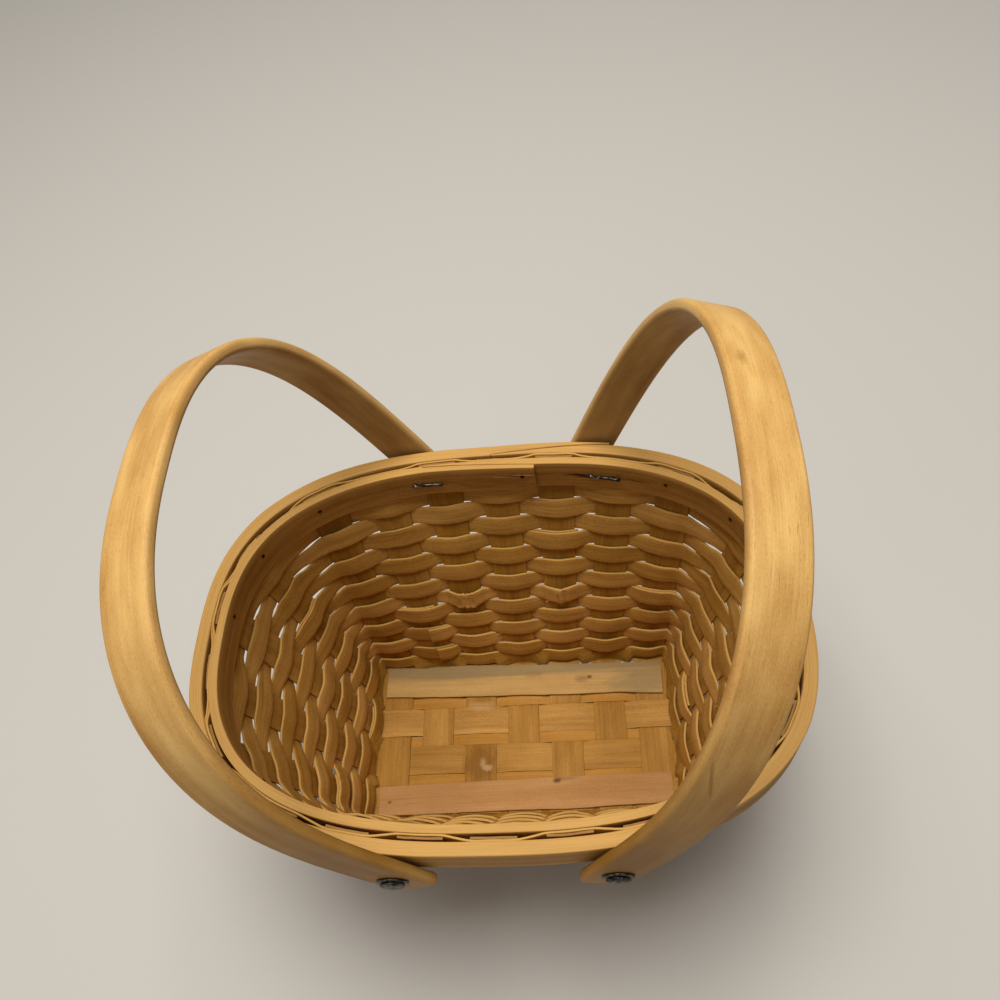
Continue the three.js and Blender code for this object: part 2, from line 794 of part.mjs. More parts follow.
add('inner_rim_hoop', innerHoop(), hoop_wood);
add('outer_rim_hoop', outerHoop(), hoop_wood);
for (const [i, tack] of tacks.entries()) {
  add(`rim_tack_${i + 1}`, tackBody(tack), dark_metal);
}

for (const [name, lean] of [['left', -left_lean_degrees], ['right', right_lean_degrees]]) {
  const swing = new THREE.Group();
  swing.position.set(pivots[name], 0, pivot_height);
  swing.rotation.y = THREE.MathUtils.degToRad(lean);
  basket.add(swing);
  add(`${name}_handle`, handle(), handle_wood, swing);
  for (const [place, side] of [['front', -1], ['back', 1]]) {
    add(`${place}_${name}_nail`, handleNail(pivots[name], side), dark_metal);
    const washer = add(`${place}_${name}_washer`, nailWasher(), dark_metal);
    const washer_face = handle_outer_face + seat_gap;
    washer.position.set(pivots[name], side * washer_face, pivot_height);
    washer.rotation.x = side > 0 ? 0 : Math.PI;
  }
}

export default basket;
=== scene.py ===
# %% [markdown]
# A splint-woven market basket
#
# Thin flat strips of wood, called splints, are woven into a basket and clamped at the top between
# two bent hoops. Two bent handles swing on nails through the rim. A game model would paint such a
# weave on a plain shell. Here each strip is a solid of its own that passes over and under its
# neighbours, because the light between the strips is what makes a basket look woven.
#
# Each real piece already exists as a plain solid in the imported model. This script makes a finer
# piece in the place of each one, in the same frame.

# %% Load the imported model
import math

import bpy
import numpy as np
from mathutils import Matrix


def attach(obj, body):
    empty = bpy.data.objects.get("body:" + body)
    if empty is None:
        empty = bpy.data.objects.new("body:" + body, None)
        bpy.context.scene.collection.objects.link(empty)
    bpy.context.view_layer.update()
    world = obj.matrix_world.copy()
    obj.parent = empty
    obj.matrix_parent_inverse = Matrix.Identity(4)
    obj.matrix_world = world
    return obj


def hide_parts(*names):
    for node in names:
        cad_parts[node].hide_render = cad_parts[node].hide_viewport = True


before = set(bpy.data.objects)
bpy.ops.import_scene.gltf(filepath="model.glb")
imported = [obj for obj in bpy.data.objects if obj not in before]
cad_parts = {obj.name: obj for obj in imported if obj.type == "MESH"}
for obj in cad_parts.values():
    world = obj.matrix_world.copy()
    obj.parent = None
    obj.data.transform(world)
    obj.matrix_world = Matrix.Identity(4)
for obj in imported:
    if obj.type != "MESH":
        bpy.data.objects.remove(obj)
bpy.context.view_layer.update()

# %% [markdown]
# The camera
#
# The picture was taken from above the front left, close to the basket, with the camera tilted.
# Its place was found by matching the rim, the floor and the handles. Yaw, pitch and roll are kept
# as three numbers, because they say more to a reader than a matrix does.

# %% Camera
MM = 0.001
CAMERA_PLACE = np.array([43.84, -185.84, 549.4])
YAW, PITCH, ROLL = (math.radians(angle) for angle in (-9.10, 55.96, -11.07))
LENS_MM = 32.4

level_forward = np.array([math.sin(YAW), math.cos(YAW), 0.0])
forward = level_forward * math.cos(PITCH) - [0, 0, math.sin(PITCH)]
level_right = np.array([math.cos(YAW), -math.sin(YAW), 0.0])
level_up = np.cross(level_right, forward)
right = math.cos(ROLL) * level_right + math.sin(ROLL) * level_up
up = math.cos(ROLL) * level_up - math.sin(ROLL) * level_right

camera = bpy.data.objects.new("camera", bpy.data.cameras.new("camera"))
camera.data.lens = LENS_MM
camera.data.clip_start = 0.01
axes = Matrix(np.column_stack([right, up, -forward]).tolist()).to_4x4()
camera.matrix_world = Matrix.Translation(CAMERA_PLACE * MM) @ axes
bpy.context.scene.collection.objects.link(camera)
bpy.context.scene.camera = camera
print("camera at", CAMERA_PLACE, "mm")

# %% [markdown]
# The sizes of the basket
#
# The strips follow the same rules as the plain solids, so the same sizes are needed again. All of
# them are in millimetres, and only the last step of making a mesh turns them to metres.

# %% Sizes
CROSS_COUNT, CROSS_WIDTH, CROSS_FLOOR_PITCH, CROSS_RIM_PITCH = 7, 19.4, 27.0, 31.3
LONG_COUNT, LONG_WIDTH, LONG_FLOOR_PITCH, LONG_RIM_PITCH = 4, 17.6, 24.5, 34.0
LONG_SHIFT, FLOOR_SHIFT = 1.6, 2.3
SPLINT, FILLER, WEAVER = 1.0, 0.9, 0.9
WEAVE_GAP, BEND_ALLOWANCE = 0.3, 2.8
ROW_COUNT, ROW_DROP, ROW_TAPER, RIM_ROW_COUNT = 14, 1.8, 0.024, 2
BOARD_THICKNESS, BOARD_END_GAP, BOARD_SIDE_GAP, BOARD_TURN = 1.6, 2.4, 4.0, 1.2
BOARD_WIDTHS = {"back": 20.6, "front": 18.0}
RIM_HEIGHT, HOOP_HEIGHT, WEAVE_DROP = 167.0, 21.0, 1.2
RIM_HALF_LENGTH, RIM_HALF_WIDTH, RIM_SQUARENESS = 132.0, 91.0, 2.65
INNER_HOOP, OUTER_HOOP, HOOP_GAP, SEAT_GAP = 3.6, 5.6, 0.4, 0.3
PIVOT_HEIGHT, PIVOT_X = 153.5, {"left": -44.1, "right": 50.1}
HANDLE_WIDTH, HANDLE_THICKNESS = 22.7, 5.5

CROSS_HALF, LONG_HALF = (CROSS_COUNT - 1) / 2, (LONG_COUNT - 1) / 2
FLOOR_HALF_LENGTH = CROSS_HALF * CROSS_FLOOR_PITCH + CROSS_WIDTH / 2
FLOOR_HALF_WIDTH = LONG_HALF * LONG_FLOOR_PITCH + LONG_WIDTH / 2 + LONG_SHIFT
LOW = SPLINT / 2
HIGH = LOW + SPLINT + WEAVE_GAP
BOARD_LEVEL = HIGH + SPLINT / 2 + SEAT_GAP
FOOT_HEIGHT = BOARD_LEVEL + BOARD_THICKNESS + SEAT_GAP
HOOP_BOTTOM = RIM_HEIGHT - HOOP_HEIGHT
WEAVE_TOP = RIM_HEIGHT - WEAVE_DROP
WEAVER_OFFSET = SPLINT / 2 + WEAVE_GAP + WEAVER / 2
HALF_WEAVE = WEAVER_OFFSET + WEAVER / 2 + HOOP_GAP
WEAVE_LINE = INNER_HOOP + HALF_WEAVE
OUTER_HOOP_START = WEAVE_LINE + HALF_WEAVE
LEG_LINE = RIM_HALF_WIDTH + OUTER_HOOP_START + OUTER_HOOP + HOOP_GAP + HANDLE_THICKNESS / 2
print("floor", 2 * FLOOR_HALF_LENGTH, "by", 2 * FLOOR_HALF_WIDTH, "mm")

# %% [markdown]
# The outline of the rim
#
# Seen from above, the rim is neither an ellipse nor a rectangle. A superellipse gives every shape
# between the two with one number. Its length is measured once, so that strips can be spaced along
# it as they are on the real rim, by a ruler and not by an angle.

# %% Rim outline
def rim_point(angle, offset):
    """Points of the rim outline, moved out by an offset, at angles from +X towards +Y."""
    power = 2 / RIM_SQUARENESS
    c, s = np.cos(angle), np.sin(angle)
    x = (RIM_HALF_LENGTH + offset) * np.sign(c) * np.abs(c) ** power
    y = (RIM_HALF_WIDTH + offset) * np.sign(s) * np.abs(s) ** power
    return np.stack([x, y, np.zeros_like(x)], -1)


class RimLine:
    """The rim outline at one offset, measured along its length from +X."""

    def __init__(self, offset, steps=5760):
        self.offset = offset
        self.angles = np.linspace(0, 2 * math.pi, steps + 1)
        self.points = rim_point(self.angles, offset)
        pieces = np.linalg.norm(np.diff(self.points, axis=0), axis=1)
        self.lengths = np.concatenate([[0], np.cumsum(pieces)])
        self.total = self.lengths[-1]

    def angle_at(self, length):
        return np.interp(np.asarray(length) % self.total, self.lengths, self.angles)

    def length_at(self, point):
        return self.lengths[np.argmin(np.linalg.norm(self.points - point, axis=1))]

    def out_at(self, angle):
        turn = 1e-3
        along = rim_point(angle + turn, self.offset) - rim_point(angle - turn, self.offset)
        out = np.stack([along[..., 1], -along[..., 0], np.zeros_like(along[..., 0])], -1)
        return out / np.linalg.norm(out, axis=-1, keepdims=True)


def half_width_at(x, offset):
    share = (abs(x) / (RIM_HALF_LENGTH + offset)) ** RIM_SQUARENESS
    return (RIM_HALF_WIDTH + offset) * (1 - share) ** (1 / RIM_SQUARENESS)


def half_length_at(y, offset):
    share = (abs(y) / (RIM_HALF_WIDTH + offset)) ** RIM_SQUARENESS
    return (RIM_HALF_LENGTH + offset) * (1 - share) ** (1 / RIM_SQUARENESS)


weave_rim = RimLine(WEAVE_LINE)
print("the weave is", round(weave_rim.total), "mm round at the rim")

# %% [markdown]
# The stakes
#
# The upright part of a splint is called a stake. Seven splints give seven stakes at the back and
# seven at the front, and four give the stakes of the two ends. The floor is a rectangle and the
# rim is round, so no two neighbours lean alike. Each stake is kept as three straight lines, its
# two edges and its middle, with the outward direction at both ends of each line.

# %% Stakes
def make_stake(foot, along, out, rim, width):
    """Three lines (foot, rim, outward at the foot, outward at the rim) for the sides -1, 0, 1."""
    middle = weave_rim.length_at(rim)
    lines = []
    for side in (-1, 0, 1):
        angle = weave_rim.angle_at(middle + side * width / 2)
        top = rim_point(angle, WEAVE_LINE) + [0, 0, HOOP_BOTTOM]
        lines.append((foot + along * side * width / 2, top, out, weave_rim.out_at(angle)))
    return lines


def cross_stake(number, side):
    place = number - CROSS_HALF
    foot_y = FLOOR_SHIFT + side * (FLOOR_HALF_WIDTH + BEND_ALLOWANCE)
    foot = np.array([place * CROSS_FLOOR_PITCH, foot_y, FOOT_HEIGHT])
    x = place * CROSS_RIM_PITCH
    rim = np.array([x, side * half_width_at(x, WEAVE_LINE), 0])
    return make_stake(foot, np.array([-side, 0, 0]), np.array([0, side, 0]), rim, CROSS_WIDTH)


def long_stake(number, side):
    place = number - LONG_HALF
    foot_y = FLOOR_SHIFT - LONG_SHIFT + place * LONG_FLOOR_PITCH
    foot = np.array([side * (FLOOR_HALF_LENGTH + BEND_ALLOWANCE), foot_y, FOOT_HEIGHT])
    y = place * LONG_RIM_PITCH
    rim = np.array([side * half_length_at(y, WEAVE_LINE), y, 0])
    return make_stake(foot, np.array([0, side, 0]), np.array([side, 0, 0]), rim, LONG_WIDTH)


def stake_at(stake, height):
    """The stake's three points and outward directions at a height: two arrays of three rows."""
    share = min((height - FOOT_HEIGHT) / (HOOP_BOTTOM - FOOT_HEIGHT), 1)
    points = np.array([foot + (rim - foot) * share for foot, rim, _, _ in stake])
    points[:, 2] = height
    outs = np.array([low + (high - low) * share for _, _, low, high in stake])
    return points, outs / np.linalg.norm(outs, axis=1, keepdims=True)


stakes = {
    "right": [long_stake(i, 1) for i in range(LONG_COUNT)],
    "back": [cross_stake(i, 1) for i in reversed(range(CROSS_COUNT))],
    "left": [long_stake(i, -1) for i in reversed(range(LONG_COUNT))],
    "front": [cross_stake(i, -1) for i in range(CROSS_COUNT)],
}
stakes_around = [stake for side in stakes.values() for stake in side]
print(len(stakes_around), "stakes around the wall")

# %% [markdown]
# From rings to a mesh
#
# Every wooden piece here is a strip: one cross-section carried along a line. The strip is made
# ring by ring, with all points of a ring in the same order, and neighbouring rings are joined by
# quads. That keeps the faces square to the grain, and it lets each point carry where it lies on
# the strip: how far along, how far across and how deep. The wood's pattern reads that place, so
# the grain follows each bend, as it does on bent wood.

# %% Cross-sections
SQUARE = ((-1, -1), (1, -1), (1, 1), (-1, 1))


def eased_section(half_width, half_thickness, radius, flats=4, corner=3):
    """Points (u, v) of a flat strip with eased edges, as shares of half the width and thickness."""
    radius = min(radius, 0.9 * half_thickness)
    points = []
    for quarter, (u_side, v_side) in enumerate([(1, -1), (1, 1), (-1, 1), (-1, -1)]):
        for step in range(corner + 1):
            angle = math.radians(-90 + 90 * quarter + 90 * step / corner)
            u = u_side * (half_width - radius) + radius * math.cos(angle)
            v = v_side * (half_thickness - radius) + radius * math.sin(angle)
            points.append((u / half_width, v / half_thickness))
        if quarter % 2 == 1:
            start, end = points[-1], (-points[-1][0], points[-1][1])
            shares = [(i + 1) / (flats + 1) for i in range(flats)]
            points += [(start[0] + (end[0] - start[0]) * share, start[1]) for share in shares]
    return np.array(points)


print("a section has", len(eased_section(10, 0.5, 0.2)), "points")

# %% Shells
def shell(rings, places=None, edge=None, painted_shade=None, closed=False):
    """One skin of rings (count, points, 3) in mm, with what each point tells the material."""
    blank = np.zeros(rings.shape[:2])
    return {
        "rings": rings,
        "grain": rings if places is None else places,
        "cut_edge": blank if edge is None else edge,
        "painted_shade": blank if painted_shade is None else painted_shade,
        "closed": closed,
    }


def shell_faces(rings, closed):
    """Quads from ring to ring, and an end face at each end of an open shell. All look out."""
    count, size = rings.shape[:2]
    start = np.arange(count if closed else count - 1)[:, None] * size
    here = start + np.arange(size)
    beside = start + (np.arange(size) + 1) % size
    total = count * size
    ahead = (beside + size) % total, (here + size) % total
    quads = np.stack([here, beside, *ahead], -1).reshape(-1, 4)
    a, b, c, d = (rings.reshape(-1, 3)[quads[:, i]] for i in range(4))
    volume = (a * np.cross(b, c)).sum() + (a * np.cross(c, d)).sum()
    faces = quads.tolist()
    if not closed:
        faces += [list(range(size))[::-1], list(range(total - size, total))]
    return faces if volume > 0 else [face[::-1] for face in faces]


two_squares = np.array([[(x, y, z) for x, y in SQUARE] for z in (0, 1)], float)
print("a shell of two squares has", len(shell_faces(two_squares, closed=False)), "faces")

# %% A piece from its shells
TOLD_BY_POINTS = {
    "grain": ("FLOAT_VECTOR", "vector"),
    "cut_edge": ("FLOAT", "value"),
    "painted_shade": ("FLOAT", "value"),
}
SHARP_FROM = math.radians(50)


def make_piece(name, shells, material, body="basket", tone=0.0):
    """Joins shells into one mesh that takes the place of the solid of that name."""
    vertices, faces = [], []
    for one in shells:
        first = sum(len(points) for points in vertices)
        faces += [[first + i for i in face] for face in shell_faces(one["rings"], one["closed"])]
        vertices.append(one["rings"].reshape(-1, 3))
    mesh = bpy.data.meshes.new(name)
    mesh.from_pydata((np.concatenate(vertices) * MM).tolist(), [], faces)
    for told, (kind, field) in TOLD_BY_POINTS.items():
        values = np.concatenate([one[told].ravel() for one in shells])
        mesh.attributes.new(told, kind, "POINT").data.foreach_set(field, values.astype(np.float32))
    tones = np.full(len(mesh.vertices), tone, np.float32)
    mesh.attributes.new("tone", "FLOAT", "POINT").data.foreach_set("value", tones)
    mesh.polygons.foreach_set("use_smooth", [True] * len(mesh.polygons))
    mesh.set_sharp_from_angle(angle=SHARP_FROM)
    mesh.materials.append(material)
    mesh.update()
    piece = bpy.data.objects.new(f"{name}_piece", mesh)
    bpy.context.scene.collection.objects.link(piece)
    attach(piece, body)
    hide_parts(name)


print("each point tells the material its", ", ".join(TOLD_BY_POINTS))


# %% Helpers for lines and chance
def drift(random, along, wave, size):
    """A smooth random curve over the places along a strip, with bumps about wave mm long."""
    low = along.min()
    knots = random.normal(size=int((along.max() - low) / wave) + 3) * size
    at = (along - low) / wave
    base = np.floor(at).astype(int)
    share = at - base
    share = share * share * (3 - 2 * share)
    return knots[base] * (1 - share) + knots[base + 1] * share


def round_corners(stations, times=2):
    """Cuts the corners of a line of stations, each any array, and keeps its two ends."""
    for _ in range(times):
        early = 0.75 * stations[:-1] + 0.25 * stations[1:]
        late = 0.25 * stations[:-1] + 0.75 * stations[1:]
        inner = np.stack([early, late], 1).reshape(-1, *stations.shape[1:])
        stations = np.concatenate([stations[:1], inner, stations[-1:]])
    return stations


def fill_in(stations, step):
    """Adds stations so that no two are further apart than step mm, measured on the middle line."""
    middle = stations[:, 0, 1]
    lengths = np.linalg.norm(np.diff(middle, axis=0), axis=1)
    filled = [stations[:1]]
    for here, following, length in zip(stations[:-1], stations[1:], lengths):
        parts = max(1, math.ceil(length / step))
        shares = (np.arange(parts) + 1)[:, None, None, None] / parts
        filled.append(here + (following - here) * shares)
    return np.concatenate(filled)


print("helpers ready")

# %% [markdown]
# Colours
#
# Colours are picked as sRGB hex values, the way a screen shows them. The renderer adds light in
# linear values, so one function converts each colour once.

# %% Colours, nodes and materials
def linear(hex_colour):
    """A linear RGBA colour from an sRGB hex value."""
    channels = [int(hex_colour[i : i + 2], 16) / 255 for i in (1, 3, 5)]
    return [c / 12.92 if c <= 0.04045 else ((c + 0.055) / 1.055) ** 2.4 for c in channels] + [1.0]


def add(tree, kind, links=None, **settings):
    """Adds a node. settings are its own values, and links fill its inputs by name or number."""
    made = tree.nodes.new("ShaderNode" + kind)
    for name, value in settings.items():
        setattr(made, name, value)
    for name, value in (links or {}).items():
        if isinstance(value, bpy.types.NodeSocket):
            tree.links.new(value, made.inputs[name])
        else:
            made.inputs[name].default_value = value
    return made


def start_material(name):
    """A material with nodes, and with it its tree and its shader."""
    material = bpy.data.materials.new(name)
    material.use_nodes = True
    return material, material.node_tree, material.node_tree.nodes["Principled BSDF"]


print("white is", linear("#ffffff"))

# %% [markdown]
# Rotary-cut maple and poplar
#
# Splints are veneer: a steamed log is turned against a long knife and the sheet is sliced into
# strips. That gives a plain face with long, faint fibres, short dark pores, and slow changes
# between honey and brown. The cut edges are paler, because they never saw the stain or the sun.
#
# The pattern is five layers of noise, stretched along the grain: fibres about half a millimetre
# wide and some centimetres long, broad bands of a few millimetres, pores as fine dashes, patches
# of a few centimetres, and a fuzz of cut fibre ends. The fibres of real maple are finer than a
# pixel here, so these are drawn about three times too coarse, to let them show.
#
# Dry wood hardly shines. Its specular level is set well below the usual 0.5, so that the pale
# floor doesn't turn the brown grey, and only the varnished handles have a trace of clear coat.
#
# Knots, rust stains, pale torn spots that also carry a painted glossy highlight, and painted shade
# on the lower legs of the handles each belong to one place on the basket. They are soft
# ellipsoids in space, and only the wood that lies inside one takes its colour.

# %% A mark on the wood
MARK_EDGE, RAGGED = 1.12, 0.9  # a mark fades where its distance plus its noise comes to this


def paint_mark(tree, base, colour, center, size, strength, softness=0.65):
    """Lays one soft ragged spot over a colour. Its centre and half sizes are in mm."""
    place = add(tree, "TexCoord").outputs["Object"]
    from_center = {0: place, 1: [c * MM for c in center]}
    moved = add(tree, "VectorMath", from_center, operation="SUBTRACT").outputs[0]
    in_half_sizes = {0: moved, 1: [1 / (s * MM) for s in size]}
    shrunk = add(tree, "VectorMath", in_half_sizes, operation="MULTIPLY").outputs[0]
    distance = add(tree, "VectorMath", {0: shrunk}, operation="LENGTH").outputs["Value"]
    ragged = add(tree, "TexNoise", {"Vector": shrunk, "Scale": 2.2, "Detail": 3.0}).outputs[0]
    torn = {0: ragged, 1: RAGGED, 2: distance}
    reach = add(tree, "Math", torn, operation="MULTIPLY_ADD").outputs[0]
    outer, inner = MARK_EDGE + softness / 2, MARK_EDGE - softness / 2
    share = add(tree, "MapRange", {0: reach, 1: outer, 2: inner, 3: 0.0, 4: strength}).outputs[0]
    return add(tree, "Mix", {0: share, 6: base, 7: linear(colour)}, data_type="RGBA").outputs[2]


print("a mark is half gone at about", round(MARK_EDGE - RAGGED / 2, 2), "half sizes")

# %% Grain
SPREAD = 0.34  # how far the mixed layers stray from their middle before a colour is full
PORE_SHARE = 0.45
# What a tone of 1 adds to a strip's colour, and what a plain strip has.
TONE_SHADES = {"Value": (0.17, 1.0), "Hue": (0.001, 0.5), "Saturation": (-0.035, 1.0)}


def grain_layer(tree, place, length, width, detail, distortion=0.0):
    """Noise stretched along the grain. Its length and width are in mm."""
    scale = (1 / length, 1 / width, 1 / width)
    stretched = add(tree, "Mapping", {"Vector": place, "Scale": scale}).outputs[0]
    settings = {"Scale": 1.0, "Detail": detail, "Roughness": 0.6, "Distortion": distortion}
    return add(tree, "TexNoise", {"Vector": stretched, **settings}).outputs[0]


def face_colour(tree, dark, light, layers, pores):
    """The colour of a planed face: the layers mixed, the pores, and the strip's own tone."""
    mixed, weight = 0.0, 0.0
    for layer, share in layers:
        together = {0: layer, 1: share, 2: mixed}
        mixed = add(tree, "Math", together, operation="MULTIPLY_ADD").outputs[0]
        weight += share
    reach = {0: mixed, 1: weight / 2 - SPREAD, 2: weight / 2 + SPREAD}
    spread = add(tree, "MapRange", reach).outputs[0]
    woods = {0: spread, 6: linear(dark), 7: linear(light)}
    face = add(tree, "Mix", woods, data_type="RGBA").outputs[2]
    dashes = add(tree, "MapRange", {0: pores, 1: 0.62, 2: 0.72, 3: 0.0, 4: PORE_SHARE}).outputs[0]
    dashed = {0: dashes, 6: face, 7: linear(dark)}
    face = add(tree, "Mix", dashed, data_type="RGBA", blend_type="MULTIPLY").outputs[2]
    tone = add(tree, "Attribute", attribute_name="tone").outputs["Fac"]
    shades = {"Color": face}
    for name, (per_tone, plain) in TONE_SHADES.items():
        shade = {0: tone, 1: per_tone, 2: plain}
        shades[name] = add(tree, "Math", shade, operation="MULTIPLY_ADD").outputs[0]
    return add(tree, "HueSaturation", shades).outputs[0]


print("a strip's tone changes its", ", ".join(TONE_SHADES))

# %% Wood material
SHADE_BROWN = "#2b1607"  # what painted shade darkens wood towards
WOOD_SPECULAR, COAT_ROUGHNESS, BUMP_DEPTH = 0.16, 0.3, 0.25 * MM
WEAR_SWING = 0.06  # how far the bands move the roughness up and down


def make_wood(
    name, dark, light, edge, roughness,
    fibre_mm=0.55, band_mm=5.0, blotches=0.5, contrast=1.0, coat=0.0, bump=0.3, marks=(),
):
    """A wood whose grain runs along each piece. It reads the grain attribute, in millimetres."""
    material, tree, shader = start_material(name)
    place = add(tree, "Attribute", attribute_name="grain").outputs["Vector"]
    fibres = grain_layer(tree, place, 45, fibre_mm, 3)
    bands = grain_layer(tree, place, 110, band_mm, 3, 0.4)
    pores = grain_layer(tree, place, 5, 0.35, 2)
    patches = grain_layer(tree, place, 40, 14, 2)
    fuzz = grain_layer(tree, place, 1.1, 0.5, 2)
    shares = ((fibres, 0.5), (bands, 0.6), (patches, blotches), (fuzz, 0.5))
    layers = [(layer, share * contrast) for layer, share in shares]
    face = face_colour(tree, dark, light, layers, pores)

    cut = add(tree, "Attribute", attribute_name="cut_edge").outputs["Fac"]
    streaks = add(tree, "MapRange", {0: fibres, 1: 0.35, 2: 0.65, 3: 0.55, 4: 1.0}).outputs[0]
    cut_share = add(tree, "Math", {0: cut, 1: streaks}, operation="MULTIPLY").outputs[0]
    edged = {0: cut_share, 6: face, 7: linear(edge)}
    colour = add(tree, "Mix", edged, data_type="RGBA").outputs[2]
    for mark in marks:
        colour = paint_mark(tree, colour, *mark)
    # Painted shade: the wood is darkened towards a shadow brown where its painted_shade attribute
    # is set.
    painted_shade = add(tree, "Attribute", attribute_name="painted_shade").outputs["Fac"]
    shade_mix = {0: painted_shade, 6: colour, 7: linear(SHADE_BROWN)}
    colour = add(tree, "Mix", shade_mix, data_type="RGBA").outputs[2]
    tree.links.new(colour, shader.inputs["Base Color"])

    wear = {0: bands, 1: 0.3, 2: 0.7, 3: roughness + WEAR_SWING, 4: roughness - WEAR_SWING}
    tree.links.new(add(tree, "MapRange", wear).outputs[0], shader.inputs["Roughness"])
    raised = {"Strength": bump, "Distance": BUMP_DEPTH, "Height": fibres}
    relief = add(tree, "Bump", raised).outputs[0]
    tree.links.new(relief, shader.inputs["Normal"])
    shader.inputs["Specular IOR Level"].default_value = WOOD_SPECULAR
    shader.inputs["Coat Weight"].default_value = coat
    shader.inputs["Coat Roughness"].default_value = COAT_ROUGHNESS
    return material


print("dry wood has a specular level of", WOOD_SPECULAR)

# %% The woods of the basket
# A mark is its colour, its centre, its half sizes, its strength and, at the end, its softness.
PALE, KNOT, RUST, GREY = "#d9b483", "#4a2a10", "#1d120b", "#75684c"
# Painted shade for the lower front legs of the handles, which turn down and away from the lamp.
LEG_SHADE = "#875808"
stake_wood = make_wood(
    "rotary_cut_maple_stakes", "#845614", "#b98638", "#946a38", 0.62, fibre_mm=0.7,
    marks=[
        ("#74490f", (-27, -14, 2.3), (15, 15, 5), 0.6, 0.3),
        # Pale scuffed spots: partly paler scuffed wood, partly a painted glossy highlight.
        (PALE, (-22.5, -17.5, 2.3), (4.2, 2.6, 2), 0.38, 0.5),
        (PALE, (-25.5, -14.5, 2.3), (2.6, 4, 2), 0.3, 0.6),
        (PALE, (-27, 22, 2.3), (12, 4, 2), 0.25, 0.6),
    ],
)
weaver_wood = make_wood(
    "rotary_cut_poplar_weavers", "#91641f", "#d4a154", "#c3964f", 0.62, contrast=1.25, bump=0.45,
)
filler_wood = make_wood("rotary_cut_poplar_fillers", "#936018", "#bd8636", "#b98743", 0.62)
back_board_wood = make_wood(
    "weathered_poplar_board", "#a27b43", "#c99f5e", "#a47c40", 0.7, fibre_mm=0.8, band_mm=7,
    marks=[
        (GREY, (0, 50, 4), (300, 13, 4), 0.62, 0.25),
        (GREY, (76, 34, 4), (28, 12, 4), 0.5, 0.5),
        (KNOT, (43, 38, 4), (2.2, 1.6, 2), 0.8),
        (KNOT, (38, 37, 4), (6, 3.5, 2), 0.35),
        (KNOT, (8, 41, 4), (9, 3, 2), 0.2),
    ],
)
front_board_wood = make_wood(
    "pink_poplar_board", "#9b6b38", "#ba8952", "#b98c54", 0.68, fibre_mm=0.8, band_mm=8,
    marks=[
        (KNOT, (20, -27, 4), (3.6, 2.2, 2), 0.85),
        (KNOT, (26, -26, 4), (9, 1.6, 2), 0.3),
        (KNOT, (-82, -37, 4), (1.8, 1.2, 2), 0.7),
    ],
)
hoop_wood = make_wood(
    "steam_bent_ash_hoops", "#87591e", "#bb8a45", "#c4954f", 0.6, band_mm=3, contrast=1.5, bump=0.5,
    marks=[
        (RUST, (43, 88, 156.6), (9, 6, 1.5), 0.95),
        (RUST, (47, 88, 155.2), (7, 6, 2.0), 0.85),
        (RUST, (62, 85, 155.5), (6, 6, 2.2), 0.8),
        (RUST, (72, 83, 156), (10, 6, 0.9), 0.7),
        (RUST, (-40, 89, 155.2), (8, 6, 1.9), 0.9),
        (PALE, (15, 88, 159.9), (8, 5, 0.9), 0.8, 0.3),
        (PALE, (3, 88, 158.6), (9, 5, 0.7), 0.6, 0.3),
        (KNOT, (12, 88, 158.9), (14, 5, 0.5), 0.8, 0.3),
    ],
)
handle_wood = make_wood(
    "varnished_maple_handles", "#ad7c3e", "#d8ad67", "#d0a04f", 0.52,
    band_mm=6, blotches=1.3, contrast=0.95, coat=0.02, bump=0.12,
    marks=[
        ("#8a5a20", (102.3, 26.7, 310.3), (2.4, 4.5, 3), 0.5, 0.9),
        ("#8a5c22", (80.4, -101, 251), (1.0, 8, 16), 0.6),
        ("#a8742f", (-100, 28, 308), (3, 12, 6), 0.3),
        # Painted shade on the lower front legs of both handles.
        (LEG_SHADE, (-62, -106, 172), (75, 60, 95), 0.85, 1.1),
        (LEG_SHADE, (56, -106, 168), (75, 60, 100), 0.9, 1.1),
    ],
)
print("woods:", [m.name for m in bpy.data.materials if m.name.count("_") >= 2])

# %% [markdown]
# The seven cross splints and four long splints
#
# Each is one strip from rim to rim: down one wall, along the floor, over and under the strips
# that cross it, and up the other wall. The stations are the same as on the plain solid: three
# points across the strip and the way its outer face looks. Cutting their corners twice gives the
# soft bends of wet splint, and the cross-section then rides along the stations.

# %% Stations of a splint
def station(points, outs):
    return np.array([points, outs])


def turned(one):
    """The same station seen from the other edge."""
    return one[:, ::-1]


def wall_stations(stake):
    heights = [*np.linspace(FOOT_HEIGHT, HOOP_BOTTOM, 8), WEAVE_TOP]
    return [station(*stake_at(stake, height)) for height in heights]


def bend_station(stake, level):
    points, outs = stake_at(stake, FOOT_HEIGHT)
    points = points - outs * BEND_ALLOWANCE / 4
    points[:, 2] = level + BEND_ALLOWANCE / 4
    outs = outs + [0, 0, -1]
    return station(points, outs / np.linalg.norm(outs, axis=1, keepdims=True))


def floor_station(center, along, width):
    points = np.array([center + along * side * width / 2 for side in (-1, 0, 1)])
    return station(points, np.array([[0, 0, -1.0]] * 3))


long_middle = FLOOR_SHIFT - LONG_SHIFT
long_centers = [long_middle + (LONG_HALF - i) * LONG_FLOOR_PITCH for i in range(LONG_COUNT)]
filler_centers = [(a + b) / 2 for a, b in zip(long_centers, long_centers[1:])]
SLOT_GAP = 0.05
filler_width = LONG_FLOOR_PITCH - LONG_WIDTH - 2 * SLOT_GAP
FILLER_OVER = [(1, 3, 5), (2, 4), (1, 3, 5)]  # the cross splints that each filler passes over


def long_passes_over(long_number, cross_number):
    return (long_number + cross_number) % 2 == 1


def level_of(upper):
    return HIGH if upper else LOW


print("long splints lie at y", [round(y, 1) for y in long_centers])

